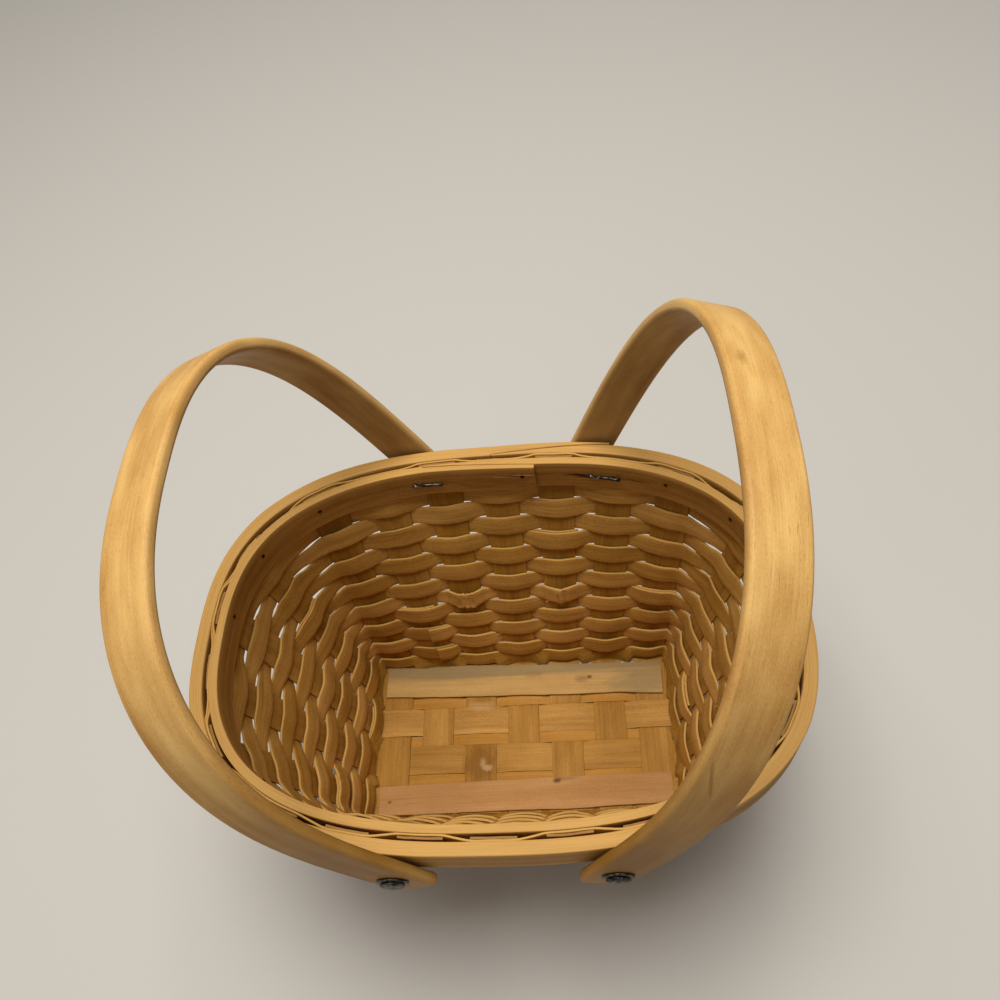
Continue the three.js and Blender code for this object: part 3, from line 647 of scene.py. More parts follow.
# %% A strip along its stations
def strip_rings(stations, half_thickness, section, random, waver=0.25):
    """Rings and wood places of a strip. waver is how far its edges stray from a straight cut."""
    middle = stations[:, 0, 1]
    along = np.concatenate([[0], np.cumsum(np.linalg.norm(np.diff(middle, axis=0), axis=1))])
    left, center, far = (stations[:, 0, i][:, None] for i in range(3))
    low, mid, high = (stations[:, 1, i][:, None] for i in range(3))
    u, v = section[:, 0][None, :, None], section[:, 1][None, :, None]
    strays = [
        drift(random, along, 30, waver) + drift(random, along, 5, waver / 3) for _ in range(2)
    ]
    half_width = np.linalg.norm(far - left, axis=-1) / 2
    stray = np.where(u[:, :, 0] > 0, strays[0][:, None], strays[1][:, None])
    wide = u * (1 + stray / half_width)[:, :, None]
    surface = center + wide * (far - left) / 2 + wide**2 * ((far + left) / 2 - center)
    facing = mid + wide * (high - low) / 2
    facing = facing / np.linalg.norm(facing, axis=-1, keepdims=True)
    rings = surface + facing * v * half_thickness
    across, depth = wide[:, :, 0] * half_width, v[:, :, 0] * half_thickness
    return rings, wood_places(along, across, depth, random)


WOOD_REACH = 4000  # in mm, far more than a strip is long


def wood_places(along, across, depth, random):
    """Where each point lies in the wood, in mm, started anywhere so that no two strips match."""
    spread = np.broadcast_arrays(along[:, None], across, depth)
    return np.stack(spread, -1) + random.uniform(0, WOOD_REACH, 3)


def edge_share(section, count):
    """1 on the narrow cut edges of a strip and 0 on its faces, for every point of every ring."""
    on_edge = (np.abs(section[:, 0]) > 0.995).astype(float)
    return np.tile(on_edge, (count, 1))


splint_section = eased_section(CROSS_WIDTH / 2, SPLINT / 2, 0.2, flats=5, corner=2)
random = np.random.default_rng(7)  # one seed, so that each run weaves the same basket
long_along = np.array([0, 1.0, 0])
cross_along = np.array([-1.0, 0, 0])

# Above 0 a splint is paler than its wood, and below 0 it is darker.
SPLINT_TONES = {"cross_splint_3": -0.7, "long_splint_2": 0.7, "long_splint_3": 0.3}


def make_splint(name, stations):
    """A splint through its stations. Its two ends were broken off, so they are ragged."""
    smooth = fill_in(round_corners(np.array(stations)), 3.0)
    rings, places = strip_rings(smooth, SPLINT / 2, splint_section, random, waver=0.15)
    rings[:, :, 2] = np.maximum(rings[:, :, 2], 0)
    edge = edge_share(splint_section, len(rings))
    knots = np.linspace(-1, 1, 9)
    for end in (0, -1):
        torn_off = random.uniform(0, 1.3, len(knots))
        rings[end, :, 2] -= np.interp(splint_section[:, 0], knots, torn_off)
        edge[end] = 1
    tone = SPLINT_TONES.get(name, random.normal() * 0.35)
    make_piece(name, [shell(rings, places, edge)], stake_wood, tone=tone)


print("splints are cut", CROSS_WIDTH, "and", LONG_WIDTH, "mm wide")

# %% Cross splints
def cross_crossings(number):
    """Where strips cross this splint, from the back: (y, half width, splint is the upper one)."""
    crossings = []
    for i, y in enumerate(long_centers):
        crossings.append((y, LONG_WIDTH / 2, not long_passes_over(i, number)))
    for i, y in enumerate(filler_centers):
        crossings.append((y, filler_width / 2, number not in FILLER_OVER[i]))
    return sorted(crossings, reverse=True)


for number in range(CROSS_COUNT):
    x = (number - CROSS_HALF) * CROSS_FLOOR_PITCH
    ends = FLOOR_SHIFT + FLOOR_HALF_WIDTH, FLOOR_SHIFT - FLOOR_HALF_WIDTH
    crossings = cross_crossings(number)
    first, last = level_of(crossings[0][2]), level_of(crossings[-1][2])
    line = [(ends[0], first)]
    for y, reach, upper in crossings:
        line.append((min(y + reach, ends[0] - WEAVE_GAP), level_of(upper)))
        line.append((max(y - reach, ends[1] + WEAVE_GAP), level_of(upper)))
    line.append((ends[1], last))
    back, front = stakes["back"][CROSS_COUNT - 1 - number], stakes["front"][number]
    stations = [
        *wall_stations(back)[::-1],
        bend_station(back, first),
        *[floor_station(np.array([x, y, z]), cross_along, CROSS_WIDTH) for y, z in line],
        turned(bend_station(front, last)),
        *[turned(one) for one in wall_stations(front)],
    ]
    make_splint(f"cross_splint_{number + 1}", stations)
print(CROSS_COUNT, "cross splints")

# %% Long splints
def floor_line(passes_over, thickness, end):
    """Points (x, z), from the right, of a strip that crosses all the cross splints."""
    points = []
    for number in reversed(range(CROSS_COUNT)):
        x = (number - CROSS_HALF) * CROSS_FLOOR_PITCH
        z = SPLINT + WEAVE_GAP + thickness / 2 if passes_over(number) else thickness / 2
        points += [(min(x + CROSS_WIDTH / 2, end), z), (max(x - CROSS_WIDTH / 2, -end), z)]
    return points


for number, y in enumerate(long_centers):
    end = FLOOR_HALF_LENGTH - WEAVE_GAP
    line = floor_line(lambda cross: long_passes_over(number, cross), SPLINT, end)
    line = [(FLOOR_HALF_LENGTH, line[0][1]), *line, (-FLOOR_HALF_LENGTH, line[-1][1])]
    right_stake, left_stake = stakes["right"][LONG_COUNT - 1 - number], stakes["left"][number]
    stations = [
        *wall_stations(right_stake)[::-1],
        bend_station(right_stake, line[0][1]),
        *[floor_station(np.array([x, y, z]), long_along, LONG_WIDTH) for x, z in line],
        turned(bend_station(left_stake, line[-1][1])),
        *[turned(one) for one in wall_stations(left_stake)],
    ]
    make_splint(f"long_splint_{number + 1}", stations)
print(LONG_COUNT, "long splints")

# %% [markdown]
# Fillers and floor boards
#
# Narrow strips close the slots between the wide ones, and two thin boards cover the loose edges
# of the floor at the back and the front. The boards were laid in by hand, so they are not quite
# parallel: each is turned by about a degree.

# %% Fillers
filler_section = eased_section(filler_width / 2, FILLER / 2, 0.2, flats=2, corner=2)
for number, y in enumerate(filler_centers):
    end = FLOOR_HALF_LENGTH - BOARD_END_GAP
    line = floor_line(lambda cross: cross in FILLER_OVER[number], FILLER, end)
    stations = [floor_station(np.array([x, y, z]), long_along, filler_width) for x, z in line]
    smooth = fill_in(round_corners(np.array(stations)), 3.0)
    rings, places = strip_rings(smooth, FILLER / 2, filler_section, random, waver=0.06)
    rings[:, :, 2] = np.maximum(rings[:, :, 2], 0)
    edge = edge_share(filler_section, len(rings))
    filler, tone = [shell(rings, places, edge)], random.normal() * 0.5
    make_piece(f"floor_filler_{number + 1}", filler, filler_wood, tone=tone)
print(len(filler_centers), "fillers", round(filler_width, 1), "mm wide")

# %% Floor boards
for name, side, wood in (("back", 1, back_board_wood), ("front", -1, front_board_wood)):
    width = BOARD_WIDTHS[name]
    half_length = FLOOR_HALF_LENGTH - BOARD_END_GAP
    middle = FLOOR_SHIFT + side * (FLOOR_HALF_WIDTH + BEND_ALLOWANCE - BOARD_SIDE_GAP - width / 2)
    turn = math.radians(-side * BOARD_TURN)
    direction = np.array([math.cos(turn), math.sin(turn), 0])
    across = np.array([-direction[1], direction[0], 0])
    height = BOARD_LEVEL + BOARD_THICKNESS / 2
    stations = []
    for share in np.linspace(-1, 1, 60):
        center = np.array([0, middle, height]) - direction * share * half_length
        stations.append(floor_station(center, across, width))
    section = eased_section(width / 2, BOARD_THICKNESS / 2, 0.35, flats=6, corner=2)
    rings, places = strip_rings(np.array(stations), BOARD_THICKNESS / 2, section, random, waver=0.3)
    board = [shell(rings, places, edge_share(section, len(rings)))]
    make_piece(f"{name}_floor_board", board, wood)
print("two floor boards")

# %% [markdown]
# The weavers
#
# A weaver goes inside one stake and outside the next, and stands off each in a soft bow, because
# dry splint springs back. The line is worked out in three layers: a closed curve along the middle
# of the stakes, a smooth wave that swings to either side of it, and small errors of the hand. Its
# two ends overlap for a stake or two. There the two layers keep to their own sides, a strip's
# thickness apart.
#
# In the seventh row the wood has cracked at two stakes, and the bow is a pointed one there.

# %% The line of a weaver
def loop_controls(height, amplitudes, edge_amplitude, first_way):
    """Points, outward directions and swings of the wall at a height, four for each stake."""
    points, outs, swings = [], [], []
    for i, stake in enumerate(stakes_around):
        way = first_way * (1 if i % 2 == 0 else -1)
        here, out = stake_at(stake, height)
        following, following_out = stake_at(stakes_around[(i + 1) % len(stakes_around)], height)
        points += [*here, (here[2] + following[0]) / 2]
        between = out[2] + following_out[0]
        outs += [*out, between / np.linalg.norm(between)]
        swings += [way * edge_amplitude, way * amplitudes[i], way * edge_amplitude, 0.0]
    return np.array(points), np.array(outs), np.array(swings)


def smooth_loop(values, at, total, wanted):
    """A smooth closed curve through values, which lie at the lengths at, read where wanted."""
    gap_after = (np.roll(at, -1) - at) % total
    gap_before = (at - np.roll(at, 1)) % total
    columns = values.reshape(len(values), -1)
    rise = np.roll(columns, -1, 0) - np.roll(columns, 1, 0)
    slopes = rise / (gap_after + gap_before)[:, None]
    wanted = np.asarray(wanted) % total
    i = np.searchsorted(at, wanted, side="right") - 1
    j = (i + 1) % len(values)
    length = gap_after[i][:, None]
    share = ((wanted - at[i]) % total)[:, None] / length
    square, cube = share**2, share**3
    curve = (
        (2 * cube - 3 * square + 1) * columns[i]
        + (cube - 2 * square + share) * slopes[i] * length
        + (3 * square - 2 * cube) * columns[j]
        + (cube - square) * slopes[j] * length
    )
    return curve.reshape(len(wanted), *values.shape[1:])


print("a row passes", len(stakes_around), "stakes")

# %% Cracks and slivers
WEAVER_BODY = 1.35  # dry strips are thicker than the plain solids
SLIVER_CURL, SLIVER_SAG, SLIVER_HALF_THICKNESS = 0.35, 0.12, 0.14


def ramp(values, start, end):
    share = np.clip((values - start) / (end - start), 0, 1)
    return share * share * (3 - 2 * share)


def crack_profile(distance, flat, reach=10.7):
    """1 where a cracked weaver is pushed in furthest, falling straight to 0 on both sides."""
    return np.clip(1 - np.maximum(np.abs(distance) - flat, 0) / (reach - flat), 0, 1)


def sliver(root, direction, inward, length, width):
    """A thin splinter that peels off an edge and curls into the basket."""
    rings = []
    for share in np.linspace(0, 1, 7):
        center = root + direction * length * share
        center = center + inward * abs(length) * SLIVER_CURL * share**2
        center = center + [0, 0, -abs(length) * SLIVER_SAG * share**2]
        half, thick = width * (1 - 0.9 * share) / 2, SLIVER_HALF_THICKNESS
        rings.append([center + [0, 0, z * half] + inward * y * thick for y, z in SQUARE])
    rings = np.array(rings)
    return shell(rings, edge=np.full(rings.shape[:2], 0.8))


print("a weaver is", WEAVER_BODY, "mm thick")

# %% One weaver
LAP_FADE = 9  # the length over which a strip changes sides at a lap
LAP_CLEARANCE = 0.06
FOOT_DROP, FOOT_PUSH = 4, 3.4  # how far the lowest row is pushed down, and in
HAND_ERROR = 0.12  # how far a strip strays from its line
LOW_FRAY, HIGH_FRAY, TORN_DEPTH = 0.14, 0.08, 0.14  # how ragged its edges and its cracks are
PINCH_X, PINCH_HEIGHT = (80, 120), (60, 125)  # where a strip starts to draw narrow, and is narrow


def make_weaver(
    name, bottom, top, first_way, start_stake,
    offset=WEAVER_OFFSET, bulge=1.1, body=WEAVER_BODY, spill=(0.7, 0.9), at_foot=False,
    cracks=(), slivers=3, lap=1.4, step=1.6,
):
    """A lapped strip round the wall. A crack is (stake, extra bow, flat reach, torn reach)."""
    count = len(stakes_around)
    amplitudes = offset + bulge * (1 + random.normal(size=count) * 0.2)
    controls = [loop_controls(height, amplitudes, offset, first_way) for height in (bottom, top)]
    middle = (controls[0][0] + controls[1][0]) / 2
    pieces = np.linalg.norm(np.roll(middle, -1, 0) - middle, axis=1)
    at = np.concatenate([[0], np.cumsum(pieces)[:-1]])
    total = pieces.sum()
    lap_length = lap * total / count
    along = np.arange(0, total + lap_length, step)
    lengths = at[4 * start_stake] + random.uniform(-4, 4) + along

    swing = smooth_loop(controls[0][2], at, total, lengths)
    fullness = ramp(np.abs(swing), 0.4, offset)
    inside_fullness = ramp(-swing, 0.75, offset)
    side = np.clip(swing / offset, -1, 1)
    torn = np.zeros(len(along))
    for stake, extra, flat, torn_reach in cracks:
        distance = (lengths - at[4 * stake + 1] + total / 2) % total - total / 2
        swing += np.sign(swing) * extra * crack_profile(distance, flat)
        torn = np.maximum(torn, np.abs(distance) < torn_reach)
    outer_share = 1 - ramp(along, lap_length, lap_length + LAP_FADE)
    inner_share = ramp(along, total - LAP_FADE, total)
    shift = body / 2 + LAP_CLEARANCE
    swing = swing + outer_share * shift * (1 + side) - inner_share * shift * (1 - side)

    # The strip is a little wider than a row, and its edges slip past their neighbours'.
    # The lowest row is pushed down and in, against the floor, wherever it has no stake under it.
    tucked = 1 - inside_fullness if at_foot else 0
    # High on the end walls the stakes stand far apart, and the strips draw narrow between them.
    course = smooth_loop(controls[0][0], at, total, lengths)
    on_end_wall = ramp(np.abs(course[:, 0]), *PINCH_X) * ramp(course[:, 2], *PINCH_HEIGHT)
    pinch = (1 - fullness) * on_end_wall
    down = pinch - spill[0] * fullness - FOOT_DROP * tucked
    low = (*controls[0][:2], down, -FOOT_PUSH * tucked, LOW_FRAY)
    high = (*controls[1][:2], spill[1] * fullness - pinch, 0, HIGH_FRAY)
    edges = []
    for points, outs, past, shove, fray in (low, high):
        base = smooth_loop(points, at, total, lengths)
        out = smooth_loop(outs, at, total, lengths)
        out /= np.linalg.norm(out, axis=1, keepdims=True)
        edge = base + out * (swing + shove + drift(random, along, 25, HAND_ERROR))[:, None]
        edge[:, 2] += past + drift(random, along, 40, HAND_ERROR) + drift(random, along, 4, fray)
        edge[:, 2] += torn * random.uniform(-4, 4, len(along)) * fray
        edges.append(edge)
    low, high = edges
    direction = np.gradient((low + high) / 2, axis=0)
    direction /= np.linalg.norm(direction, axis=1, keepdims=True)
    facing = np.cross(direction, high - low)
    facing /= np.linalg.norm(facing, axis=1, keepdims=True)
    half_height = (top - bottom) / 2
    section = eased_section(half_height, body / 2, 0.25, flats=3, corner=2)
    u, v = section[:, 0], section[:, 1]
    rings = (low + high)[:, None] / 2 + u[:, None] * (high - low)[:, None] / 2
    rings = rings + v[:, None] * facing[:, None] * body / 2
    places = wood_places(along, u[None] * half_height, v[None] * body / 2, random)
    rough = torn[:, None] * random.normal(size=(len(along), len(section)))
    rings += facing[:, None] * rough[:, :, None] * TORN_DEPTH
    # Cut edges are paler wood; raised torn bits get a painted highlight, sunken ones a painted
    # shade.
    pale = np.maximum(edge_share(section, len(rings)), np.clip(rough, 0, 1) * 0.35)
    dark = np.clip(-rough - 0.5, 0, 1) * 0.4
    shells = [shell(rings, places, pale, dark)]
    inside = np.flatnonzero(side < -0.7)
    for i in random.choice(inside, slivers, replace=False):
        inward = -smooth_loop(controls[1][1], at, total, lengths[i : i + 1])[0]
        edge, length = edges[random.integers(2)][i], random.choice([-1, 1]) * random.uniform(2, 5)
        shells.append(sliver(edge, direction[i], inward, length, random.uniform(0.6, 1.3)))
    make_piece(name, shells, weaver_wood, tone=random.normal() * 0.55)


print("the lowest row is pushed down", FOOT_DROP, "mm")

# %% Fourteen rows below the rim
row_pitch = (HOOP_BOTTOM - ROW_DROP - FOOT_HEIGHT) / ROW_COUNT
BACK_FIRST = LONG_COUNT


def back_stake(number):
    """The place around the wall of a stake of the back, numbered 1 to 7 from the left."""
    return BACK_FIRST + CROSS_COUNT - number


def row_top(row):
    """The top of a row, counted from 0. The lower rows were beaten down more tightly."""
    return HOOP_BOTTOM - ROW_DROP - row_pitch * (row + ROW_TAPER * row * (ROW_COUNT - row) / 2)


LAP_STARTS = {3: back_stake(5), 8: back_stake(2), 10: back_stake(3), 12: back_stake(4) + 1}
CRACKED_ROW, CRACKS = 7, [(back_stake(5), 3.2, 0, 2.2), (back_stake(3), 2.4, 4.5, 6.5)]
ROW_SEAM = 0.15
for row in range(ROW_COUNT):
    way = 1 if row % 2 == 0 else -1
    start_stake = LAP_STARTS.get(row, (5 * row + 13) % len(stakes_around))
    cracked = {"cracks": CRACKS, "step": 0.8} if row == CRACKED_ROW else {}
    at_foot = row == ROW_COUNT - 1
    bottom = row_top(row + 1) + ROW_SEAM
    spill = (0.0 if at_foot else 0.6 + 0.03 * row, 0.8 + 0.04 * row)
    make_weaver(
        f"weaver_row_{row + 1}", bottom, row_top(row), way, start_stake,
        spill=spill, at_foot=at_foot, **cracked,
    )
print(ROW_COUNT, "rows,", round(row_pitch, 2), "mm apart on average")

# %% Two rows between the hoops
rim_row_pitch = (WEAVE_TOP - HOOP_BOTTOM) / RIM_ROW_COUNT
RIM_ROW_SEAM = 0.4
rim_shape = {"offset": 1.03, "bulge": 0, "body": 1.0, "spill": (0, 0.4), "slivers": 1, "lap": 3.4}
for row in range(RIM_ROW_COUNT):
    top = WEAVE_TOP - row * rim_row_pitch
    way = 1 if row % 2 == 0 else -1
    bottom = top - rim_row_pitch + RIM_ROW_SEAM
    make_weaver(f"rim_weaver_{row + 1}", bottom, top, way, 11 + 7 * row, **rim_shape)
print(RIM_ROW_COUNT, "rows in the rim")

# %% [markdown]
# The rim hoops
#
# A hoop is one bent strip whose ends lap. The covered end is shaved to a scarf and the other end
# lies on it, so the lap stands proud at one place and shows as a step. The hoop is a list of
# sections: how far along, and how deep its two faces are, from the face that stays smooth.

# %% Hoops
LAP_LENGTH = 60.0
INNER_LAP_X, INNER_LAP_STEP = 21.5, 2.6  # where the proud end stops, and how far it stands out
OUTER_LAP_X, OUTER_LAP_STEP = 58, 0.9
SCARF_TIP, LAP_SEAM, RING_STEP = 0.8, 0.12, 2.5


def make_hoop(name, base, thickness, out, lap_x, lap_step, radius):
    """A lapped hoop, from its smooth face at base outward (out is 1) or inward (out is -1)."""
    line = RimLine(base)
    lap_length, tip, seam = LAP_LENGTH, SCARF_TIP, LAP_SEAM
    lap_end = np.array([lap_x, half_width_at(lap_x, base), 0])
    start = line.length_at(lap_end) + lap_length
    covered = np.arange(0, lap_length, RING_STEP)
    plain = np.arange(lap_length, line.total - 3 * seam, RING_STEP)
    over = np.linspace(0, lap_length, 25)
    scarf = tip + (thickness - tip) * covered / lap_length
    sections = [(a, 0, far) for a, far in zip(covered, scarf)]
    sections += [(a, 0, thickness) for a in plain]
    sections.append((line.total - 3 * seam, 0, thickness))
    for a in over:
        near = tip + (thickness - tip) * a / lap_length + seam
        sections.append((line.total + a, near, thickness + lap_step * a / lap_length))
    sections.insert(-len(over), (line.total - seam, tip + seam, thickness))
    along, near, far = np.array(sections).T
    angles = line.angle_at(start - along)

    rings, places = [], []
    sway = drift(random, along, 60, 0.12)
    far = far - np.abs(drift(random, along, 34, 0.16))
    for angle, length, close, deep, shift in zip(angles, along, near, far, sway):
        half = (deep - close) / 2
        ease = min(radius, 0.35 * (deep - close))
        section = eased_section(HOOP_HEIGHT / 2, half, ease, flats=4, corner=3)
        depth = (close + deep) / 2 + section[:, 1] * half
        points = rim_point(np.full(len(section), angle), base + out * depth)
        reach = section[:, 0] * (HOOP_HEIGHT / 2 - 0.15)
        points[:, 2] = HOOP_BOTTOM + HOOP_HEIGHT / 2 + reach + shift
        rings.append(points)
        across = section[:, 0] * HOOP_HEIGHT / 2
        places.append(np.column_stack([np.full(len(section), length), across, depth]))
    rings, places = np.array(rings), np.array(places)
    rings[:, :, 2] = np.minimum(rings[:, :, 2], RIM_HEIGHT)
    cut_edge = np.tile((np.abs(section[:, 0]) > 0.9).astype(float), (len(rings), 1))
    hoop = [shell(rings, places + random.uniform(0, WOOD_REACH, 3), cut_edge)]
    make_piece(name, hoop, hoop_wood)
    print(name, len(rings), "rings")


SWELL = 0.55  # damp has swollen both hoops towards the weave
inner, outer = INNER_HOOP + SWELL, OUTER_HOOP + SWELL
make_hoop("inner_rim_hoop", inner, inner, -1, INNER_LAP_X, INNER_LAP_STEP, 0.4)
make_hoop("outer_rim_hoop", OUTER_HOOP_START - SWELL, outer, 1, OUTER_LAP_X, OUTER_LAP_STEP, 0.6)

# %% [markdown]
# The handles
#
# A handle is a straight strip, steamed and bent over a form into an arch, with its long edges
# rounded. It is drawn flat first, in its own frame with the pivot at the origin, and then leaned
# about the pivot to where it stands.

# %% Handles
HANDLE_EASE, HANDLE_HEIGHT, STUB = 2.0, 164.0, 17.6
END_EASE, END_REACH = 0.05, 1.6  # how much a foot narrows, and over what length
CROWN_ROUND, SHOULDER_ROUND = 2.5, 3.4  # above 2 the arch is squarer than an ellipse
LEANS = {"left": -23.7, "right": 19.9}  # in degrees, as they were left standing
# how strong the painted shade on the inner faces of the handles is
INNER_SHADE = 0.24


def handle_line(parts=150):
    angles = np.linspace(0, math.pi, parts + 1)
    c, s = np.cos(angles), np.sin(angles)
    y = -LEG_LINE * np.sign(c) * np.abs(c) ** (2 / CROWN_ROUND)
    z = HANDLE_HEIGHT * np.abs(s) ** (2 / SHOULDER_ROUND)
    line = np.column_stack([y, z])
    drops = np.linspace(0, STUB, 8)
    front_foot = [(-LEG_LINE, -STUB + drop) for drop in drops[:-1]]
    back_foot = [(LEG_LINE, -drop) for drop in drops[1:]]
    return np.concatenate([front_foot, line, back_foot])


def even_line(points, step):
    """The same line with points at even distances."""
    lengths = np.concatenate([[0], np.cumsum(np.linalg.norm(np.diff(points, axis=0), axis=1))])
    wanted = np.linspace(0, lengths[-1], round(lengths[-1] / step) + 1)
    return np.column_stack([np.interp(wanted, lengths, points[:, i]) for i in range(2)]), wanted


def make_handle(name):
    line, along = even_line(handle_line(), 2.5)
    section = eased_section(HANDLE_WIDTH / 2, HANDLE_THICKNESS / 2, HANDLE_EASE, flats=4, corner=5)
    direction = np.gradient(line, axis=0)
    direction /= np.linalg.norm(direction, axis=1, keepdims=True)
    out = np.column_stack([-direction[:, 1], direction[:, 0]])
    ends = np.minimum(along, along[-1] - along)
    ease = 1 - END_EASE * np.clip(1 - ends / END_REACH, 0, 1) ** 2
    half_width = HANDLE_WIDTH / 2 * ease + drift(random, along, 60, 0.1) - 0.1
    half_thickness = HANDLE_THICKNESS / 2 * ease - np.abs(drift(random, along, 70, 0.06))
    x = section[:, 0][None, :] * half_width[:, None]
    depth = section[:, 1][None, :] * half_thickness[:, None]
    y = line[:, 0][:, None] + out[:, 0][:, None] * depth
    z = line[:, 1][:, None] + out[:, 1][:, None] * depth
    lean = math.radians(LEANS[name])
    rings = np.stack([
        PIVOT_X[name] + x * math.cos(lean) + z * math.sin(lean),
        y,
        PIVOT_HEIGHT - x * math.sin(lean) + z * math.cos(lean),
    ], -1)
    # Painted shade: the inner faces, which look down and in, are darkened towards a shadow brown.
    inner = np.tile(ramp(-section[:, 1], -0.2, 0.9) * INNER_SHADE, (len(rings), 1))
    handle = [shell(rings, wood_places(along, x, depth, random), painted_shade=inner)]
    make_piece(f"{name}_handle", handle, handle_wood, body=f"{name}_handle")


for name in LEANS:
    make_handle(name)
print("handles lean", LEANS)

# %% [markdown]
# Nails, washers and tacks
#
# The handles turn on round-headed steel nails. Each goes through a washer, the handle and the
# whole rim, and its tail is bent over on the inside. The steel has gone dark and dull, with
# brighter scratches on the domes where hands and other baskets rubbed it. Bare steel keeps the
# default IOR, and only its colour and roughness vary.

# %% Steel material
def make_steel(name, dark, bright, roughness):
    material, tree, shader = start_material(name)
    shader.inputs["Metallic"].default_value = 1.0
    place = add(tree, "Attribute", attribute_name="grain").outputs["Vector"]
    blotches = add(tree, "TexNoise", {"Vector": place, "Scale": 0.45, "Detail": 4.0}).outputs[0]
    grit = add(tree, "TexNoise", {"Vector": place, "Scale": 2.5, "Detail": 3.0}).outputs[0]
    worn = add(tree, "MapRange", {0: blotches, 1: 0.4, 2: 0.62}).outputs[0]
    metals = {0: worn, 6: linear(dark), 7: linear(bright)}
    colour = add(tree, "Mix", metals, data_type="RGBA").outputs[2]
    tree.links.new(colour, shader.inputs["Base Color"])
    wear = {0: grit, 1: 0.3, 2: 0.7, 3: roughness - 0.1, 4: roughness + 0.15}
    tree.links.new(add(tree, "MapRange", wear).outputs[0], shader.inputs["Roughness"])
    relief = add(tree, "Bump", {"Strength": 0.3, "Distance": 0.1 * MM, "Height": grit}).outputs[0]
    tree.links.new(relief, shader.inputs["Normal"])
    return material


steel = make_steel("oxidised_steel_nails", "#2b2723", "#716c65", 0.42)
rusty_iron = make_steel("rusty_iron_tacks", "#2c170c", "#5a3420", 0.6)
print("steel ready")

# %% [markdown]
# Everything round is a stack of rings about a line: the dome, shank and bent tail of a nail, a
# tack, and a washer, whose rings go round its own body and close on themselves.

# %% Round pieces
def circle(center, across, upward, radius, flat=None, parts=24):
    angles = np.linspace(0, 2 * math.pi, parts, endpoint=False)
    flat = radius if flat is None else flat
    sideways = np.outer(np.cos(angles), across) * flat
    return center + sideways + np.outer(np.sin(angles), upward) * radius


def lap_offset(x, side):
    """How far the proud end of the inner hoop stands in from its face at x."""
    share = (x - INNER_LAP_X + LAP_LENGTH) / LAP_LENGTH
    return -share * INNER_LAP_STEP if side > 0 and 0 < share < 1 else 0.0


WASHER = {"inner": 1.6, "outer": 6.9, "thickness": 0.8}
# The bent tail of a nail, in mm from its bend: along the hoop, up, and off its face.
TAIL_HOOK = [
    (4, 0, 0), (7, -0.3, 0.1), (10, -0.2, 0.2), (12.5, -0.5, 0.4),
    (14.3, -0.3, 0.7), (14.9, 0.6, 1.0), (14, 1.3, 1.1), (12.9, 1.2, 1.0),
]


def make_nail(name, x, side):
    upward, inward = np.array([0, 0, 1.0]), np.array([0, -1.0, 0])
    seat = LEG_LINE + HANDLE_THICKNESS / 2 + WASHER["thickness"] + 2 * SEAT_GAP
    half_tail, radius, head, dome = 0.7, 1.3, 5.4, 1.9
    rise = 3.1 if side > 0 else 0.0  # the back nails were driven a little upwards

    def ring(center, travel, size, flat=None):
        return circle(center, np.array([-travel[1], travel[0], 0]), upward, size, flat)

    def on_face(along, lift):
        y = half_width_at(along, 0) + lap_offset(along, side) - SEAT_GAP - half_tail
        return np.array([along, y, PIVOT_HEIGHT + lift])

    bend = on_face(x, rise)
    start, end = on_face(x + 2 * radius, rise), on_face(x + 12, rise - 0.4)
    tail = (end - start) / np.linalg.norm(end - start)
    corner = (tail + inward) / np.linalg.norm(tail + inward)
    rings = []
    for step in np.linspace(0.06, 1, 9):
        angle = step * math.pi / 2
        center = np.array([x, seat + dome * (0.18 + 0.82 * math.cos(angle)), PIVOT_HEIGHT])
        rings.append(ring(center, inward, head * math.sin(angle)))
    rings.append(ring(np.array([x, seat, PIVOT_HEIGHT]), inward, head * 0.96))
    rings.append(ring(np.array([x, seat, PIVOT_HEIGHT]), inward, radius))
    rings.append(ring(bend + [0, half_tail + radius, 0], inward, radius))
    turn = (corner + inward) / np.linalg.norm(corner + inward)
    rings.append(ring(bend + [0, 0.35, 0], turn, radius, 1.0))
    rings.append(ring(bend + tail * 0.5, corner, radius, 0.85))
    line = [on_face(x + reach, rise + lift) - [0, off, 0] for reach, lift, off in TAIL_HOOK]
    line = np.array(line)
    travels = np.gradient(line, axis=0)
    travels /= np.linalg.norm(travels, axis=1, keepdims=True)
    for center, travel, share in zip(line, travels, np.linspace(0, 1, len(line))):
        outward = np.array([travel[1], -travel[0], 0]) + [0, -1e-3, 0]
        outward /= np.linalg.norm(outward)
        height, flat = 1.15 * (1 - 0.45 * share), half_tail * (1 - 0.2 * share)
        rings.append(circle(center, -outward, np.cross(-outward, travel), height, flat))
    rings = np.array(rings)
    rings[:, :, 1] *= side
    make_piece(name, [shell(rings)], steel)


def make_washer(name, x, side):
    inner, outer, thickness = WASHER.values()
    face = side * (LEG_LINE + HANDLE_THICKNESS / 2 + SEAT_GAP)
    eased = outer - 0.3
    profile = np.array([
        (inner, 0), (eased, 0), (outer, 0.2),
        (outer, 0.5), (eased, thickness), (inner, thickness),
    ])
    angles = np.linspace(0, 2 * math.pi, 48, endpoint=False)[:, None]
    reach, depth = profile[:, 0][None], profile[:, 1][None]
    level, upright = x + reach * np.cos(angles), PIVOT_HEIGHT + reach * np.sin(angles)
    rings = np.stack(np.broadcast_arrays(level, face + side * depth, upright), -1)
    make_piece(name, [shell(rings, closed=True)], steel)


for name, x in PIVOT_X.items():
    for place, side in (("front", -1), ("back", 1)):
        make_nail(f"{place}_{name}_nail", x, side)
        make_washer(f"{place}_{name}_washer", x, side)
print("four nails and four washers")

# %% Tacks
# Where each tack is, in mm along the rim from the middle of the back, and how far below its top.
TACK_PLACES = [-262, -171, -135, -97, 14, 90, 128, 190, 262, 368]
TACK_DROP = 8
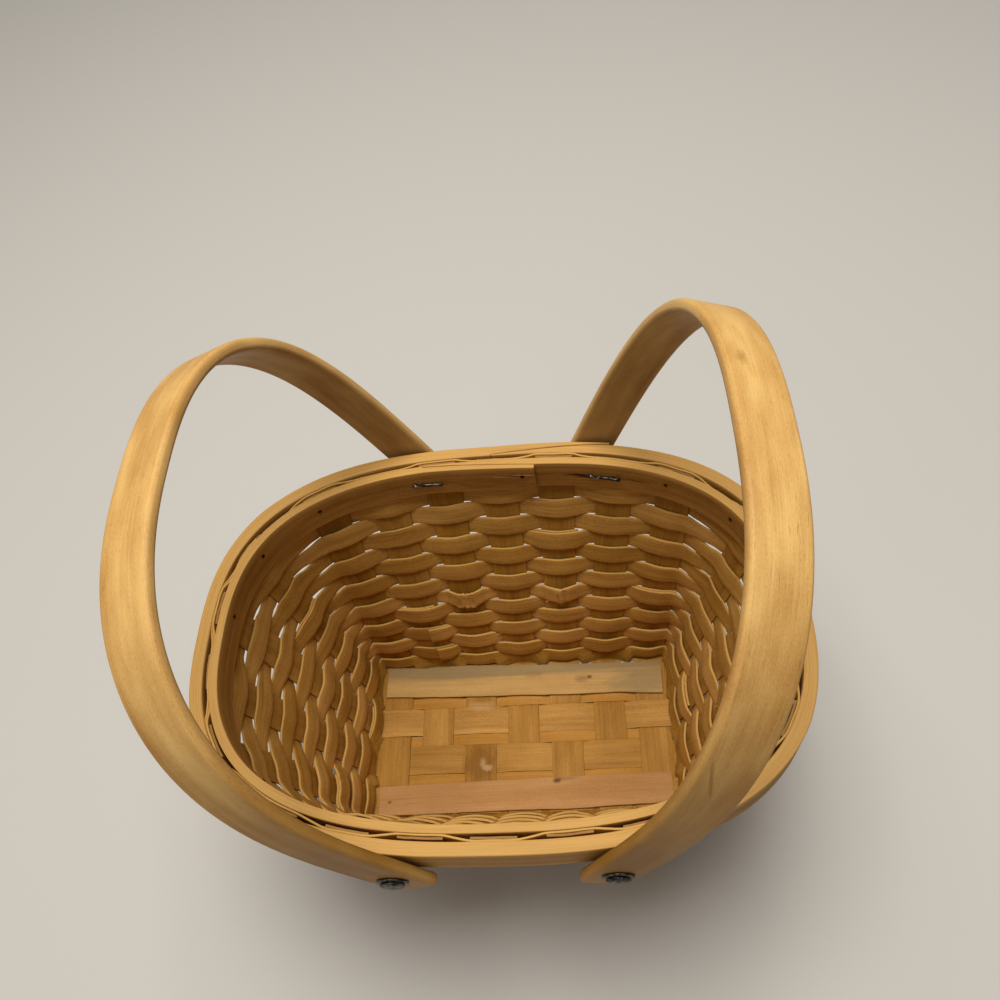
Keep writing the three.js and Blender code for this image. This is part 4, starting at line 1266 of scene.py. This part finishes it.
# The rings of a tack: how far each lies behind the hoop's face, and its radius.
TACK_PROFILE = [(-0.6, 0.3), (-0.55, 0.8), (-0.4, 1.05), (-0.3, 1.1), (-0.3, 0.5), (2.0, 0.5)]
tack_line = RimLine(0)
for number, place in enumerate(TACK_PLACES):
    angle = tack_line.angle_at(tack_line.total / 4 - place)
    point, out = rim_point(angle, 0), tack_line.out_at(angle)
    face = point + out * lap_offset(point[0], point[1]) + [0, 0, RIM_HEIGHT - TACK_DROP]
    across, upward = np.array([-out[1], out[0], 0]), np.array([0, 0, 1.0])
    rings = [
        circle(face + out * depth, across, upward, radius, parts=16)
        for depth, radius in TACK_PROFILE
    ]
    make_piece(f"rim_tack_{number + 1}", [shell(np.array(rings))], rusty_iron)
print(len(TACK_PLACES), "tacks")

# %% [markdown]
# Floor and light
#
# The basket stands on a plain pale floor. One large soft lamp hangs straight above it, as a
# ceiling light does: the floor of the basket and the tops of the hoops are bright, and the walls
# and all that looks down is dark. A weak lamp from the front left gives the steel its shine. Both
# are kept at a level where a colour that faces up renders about as it was written.

# %% Floor, lamps and sky
floor_mesh = bpy.data.meshes.new("floor")
FLOOR_REACH, FLOOR_LEVEL = 6.0, -0.0002  # in metres, and a hair below the basket
corners = [(x * FLOOR_REACH, y * FLOOR_REACH, FLOOR_LEVEL) for x, y in SQUARE]
floor_mesh.from_pydata(corners, [], [(0, 1, 2, 3)])
floor = bpy.data.objects.new("floor", floor_mesh)
floor_paint, _, floor_shader = start_material("matt_floor_paint")
floor_shader.inputs["Base Color"].default_value = linear("#c2bcb2")
floor_shader.inputs["Roughness"].default_value = 0.9
floor_mesh.materials.append(floor_paint)
bpy.context.scene.collection.objects.link(floor)


def add_lamp(name, place, size, power):
    lamp = bpy.data.lights.new(name, "AREA")
    lamp.size = size
    lamp.energy = power
    holder = bpy.data.objects.new(name, lamp)
    holder.location = place
    holder.rotation_mode = "QUATERNION"
    holder.rotation_quaternion = (-holder.location).to_track_quat("-Z", "Y")
    bpy.context.scene.collection.objects.link(holder)


add_lamp("ceiling_lamp", place=(-0.05, 0.15, 1.7), size=0.9, power=30.5)
add_lamp("front_lamp", place=(-0.9, -1.1, 0.9), size=0.5, power=1.4)

world = bpy.data.worlds.new("sky")
bpy.context.scene.world = world
world.use_nodes = True
sky = world.node_tree
sky_light = sky.nodes["Background"]
sky_light.inputs["Color"].default_value = linear("#f4f1ec")
sky_light.inputs["Strength"].default_value = 0.22
print("lamps and sky set")

# %% [markdown]
# Finish
#
# The picture is shown with the Standard view transform. The dressed basket has to stay inside
# the box of the plain solids.

# %% Finish
bpy.context.scene.view_settings.view_transform = "Standard"
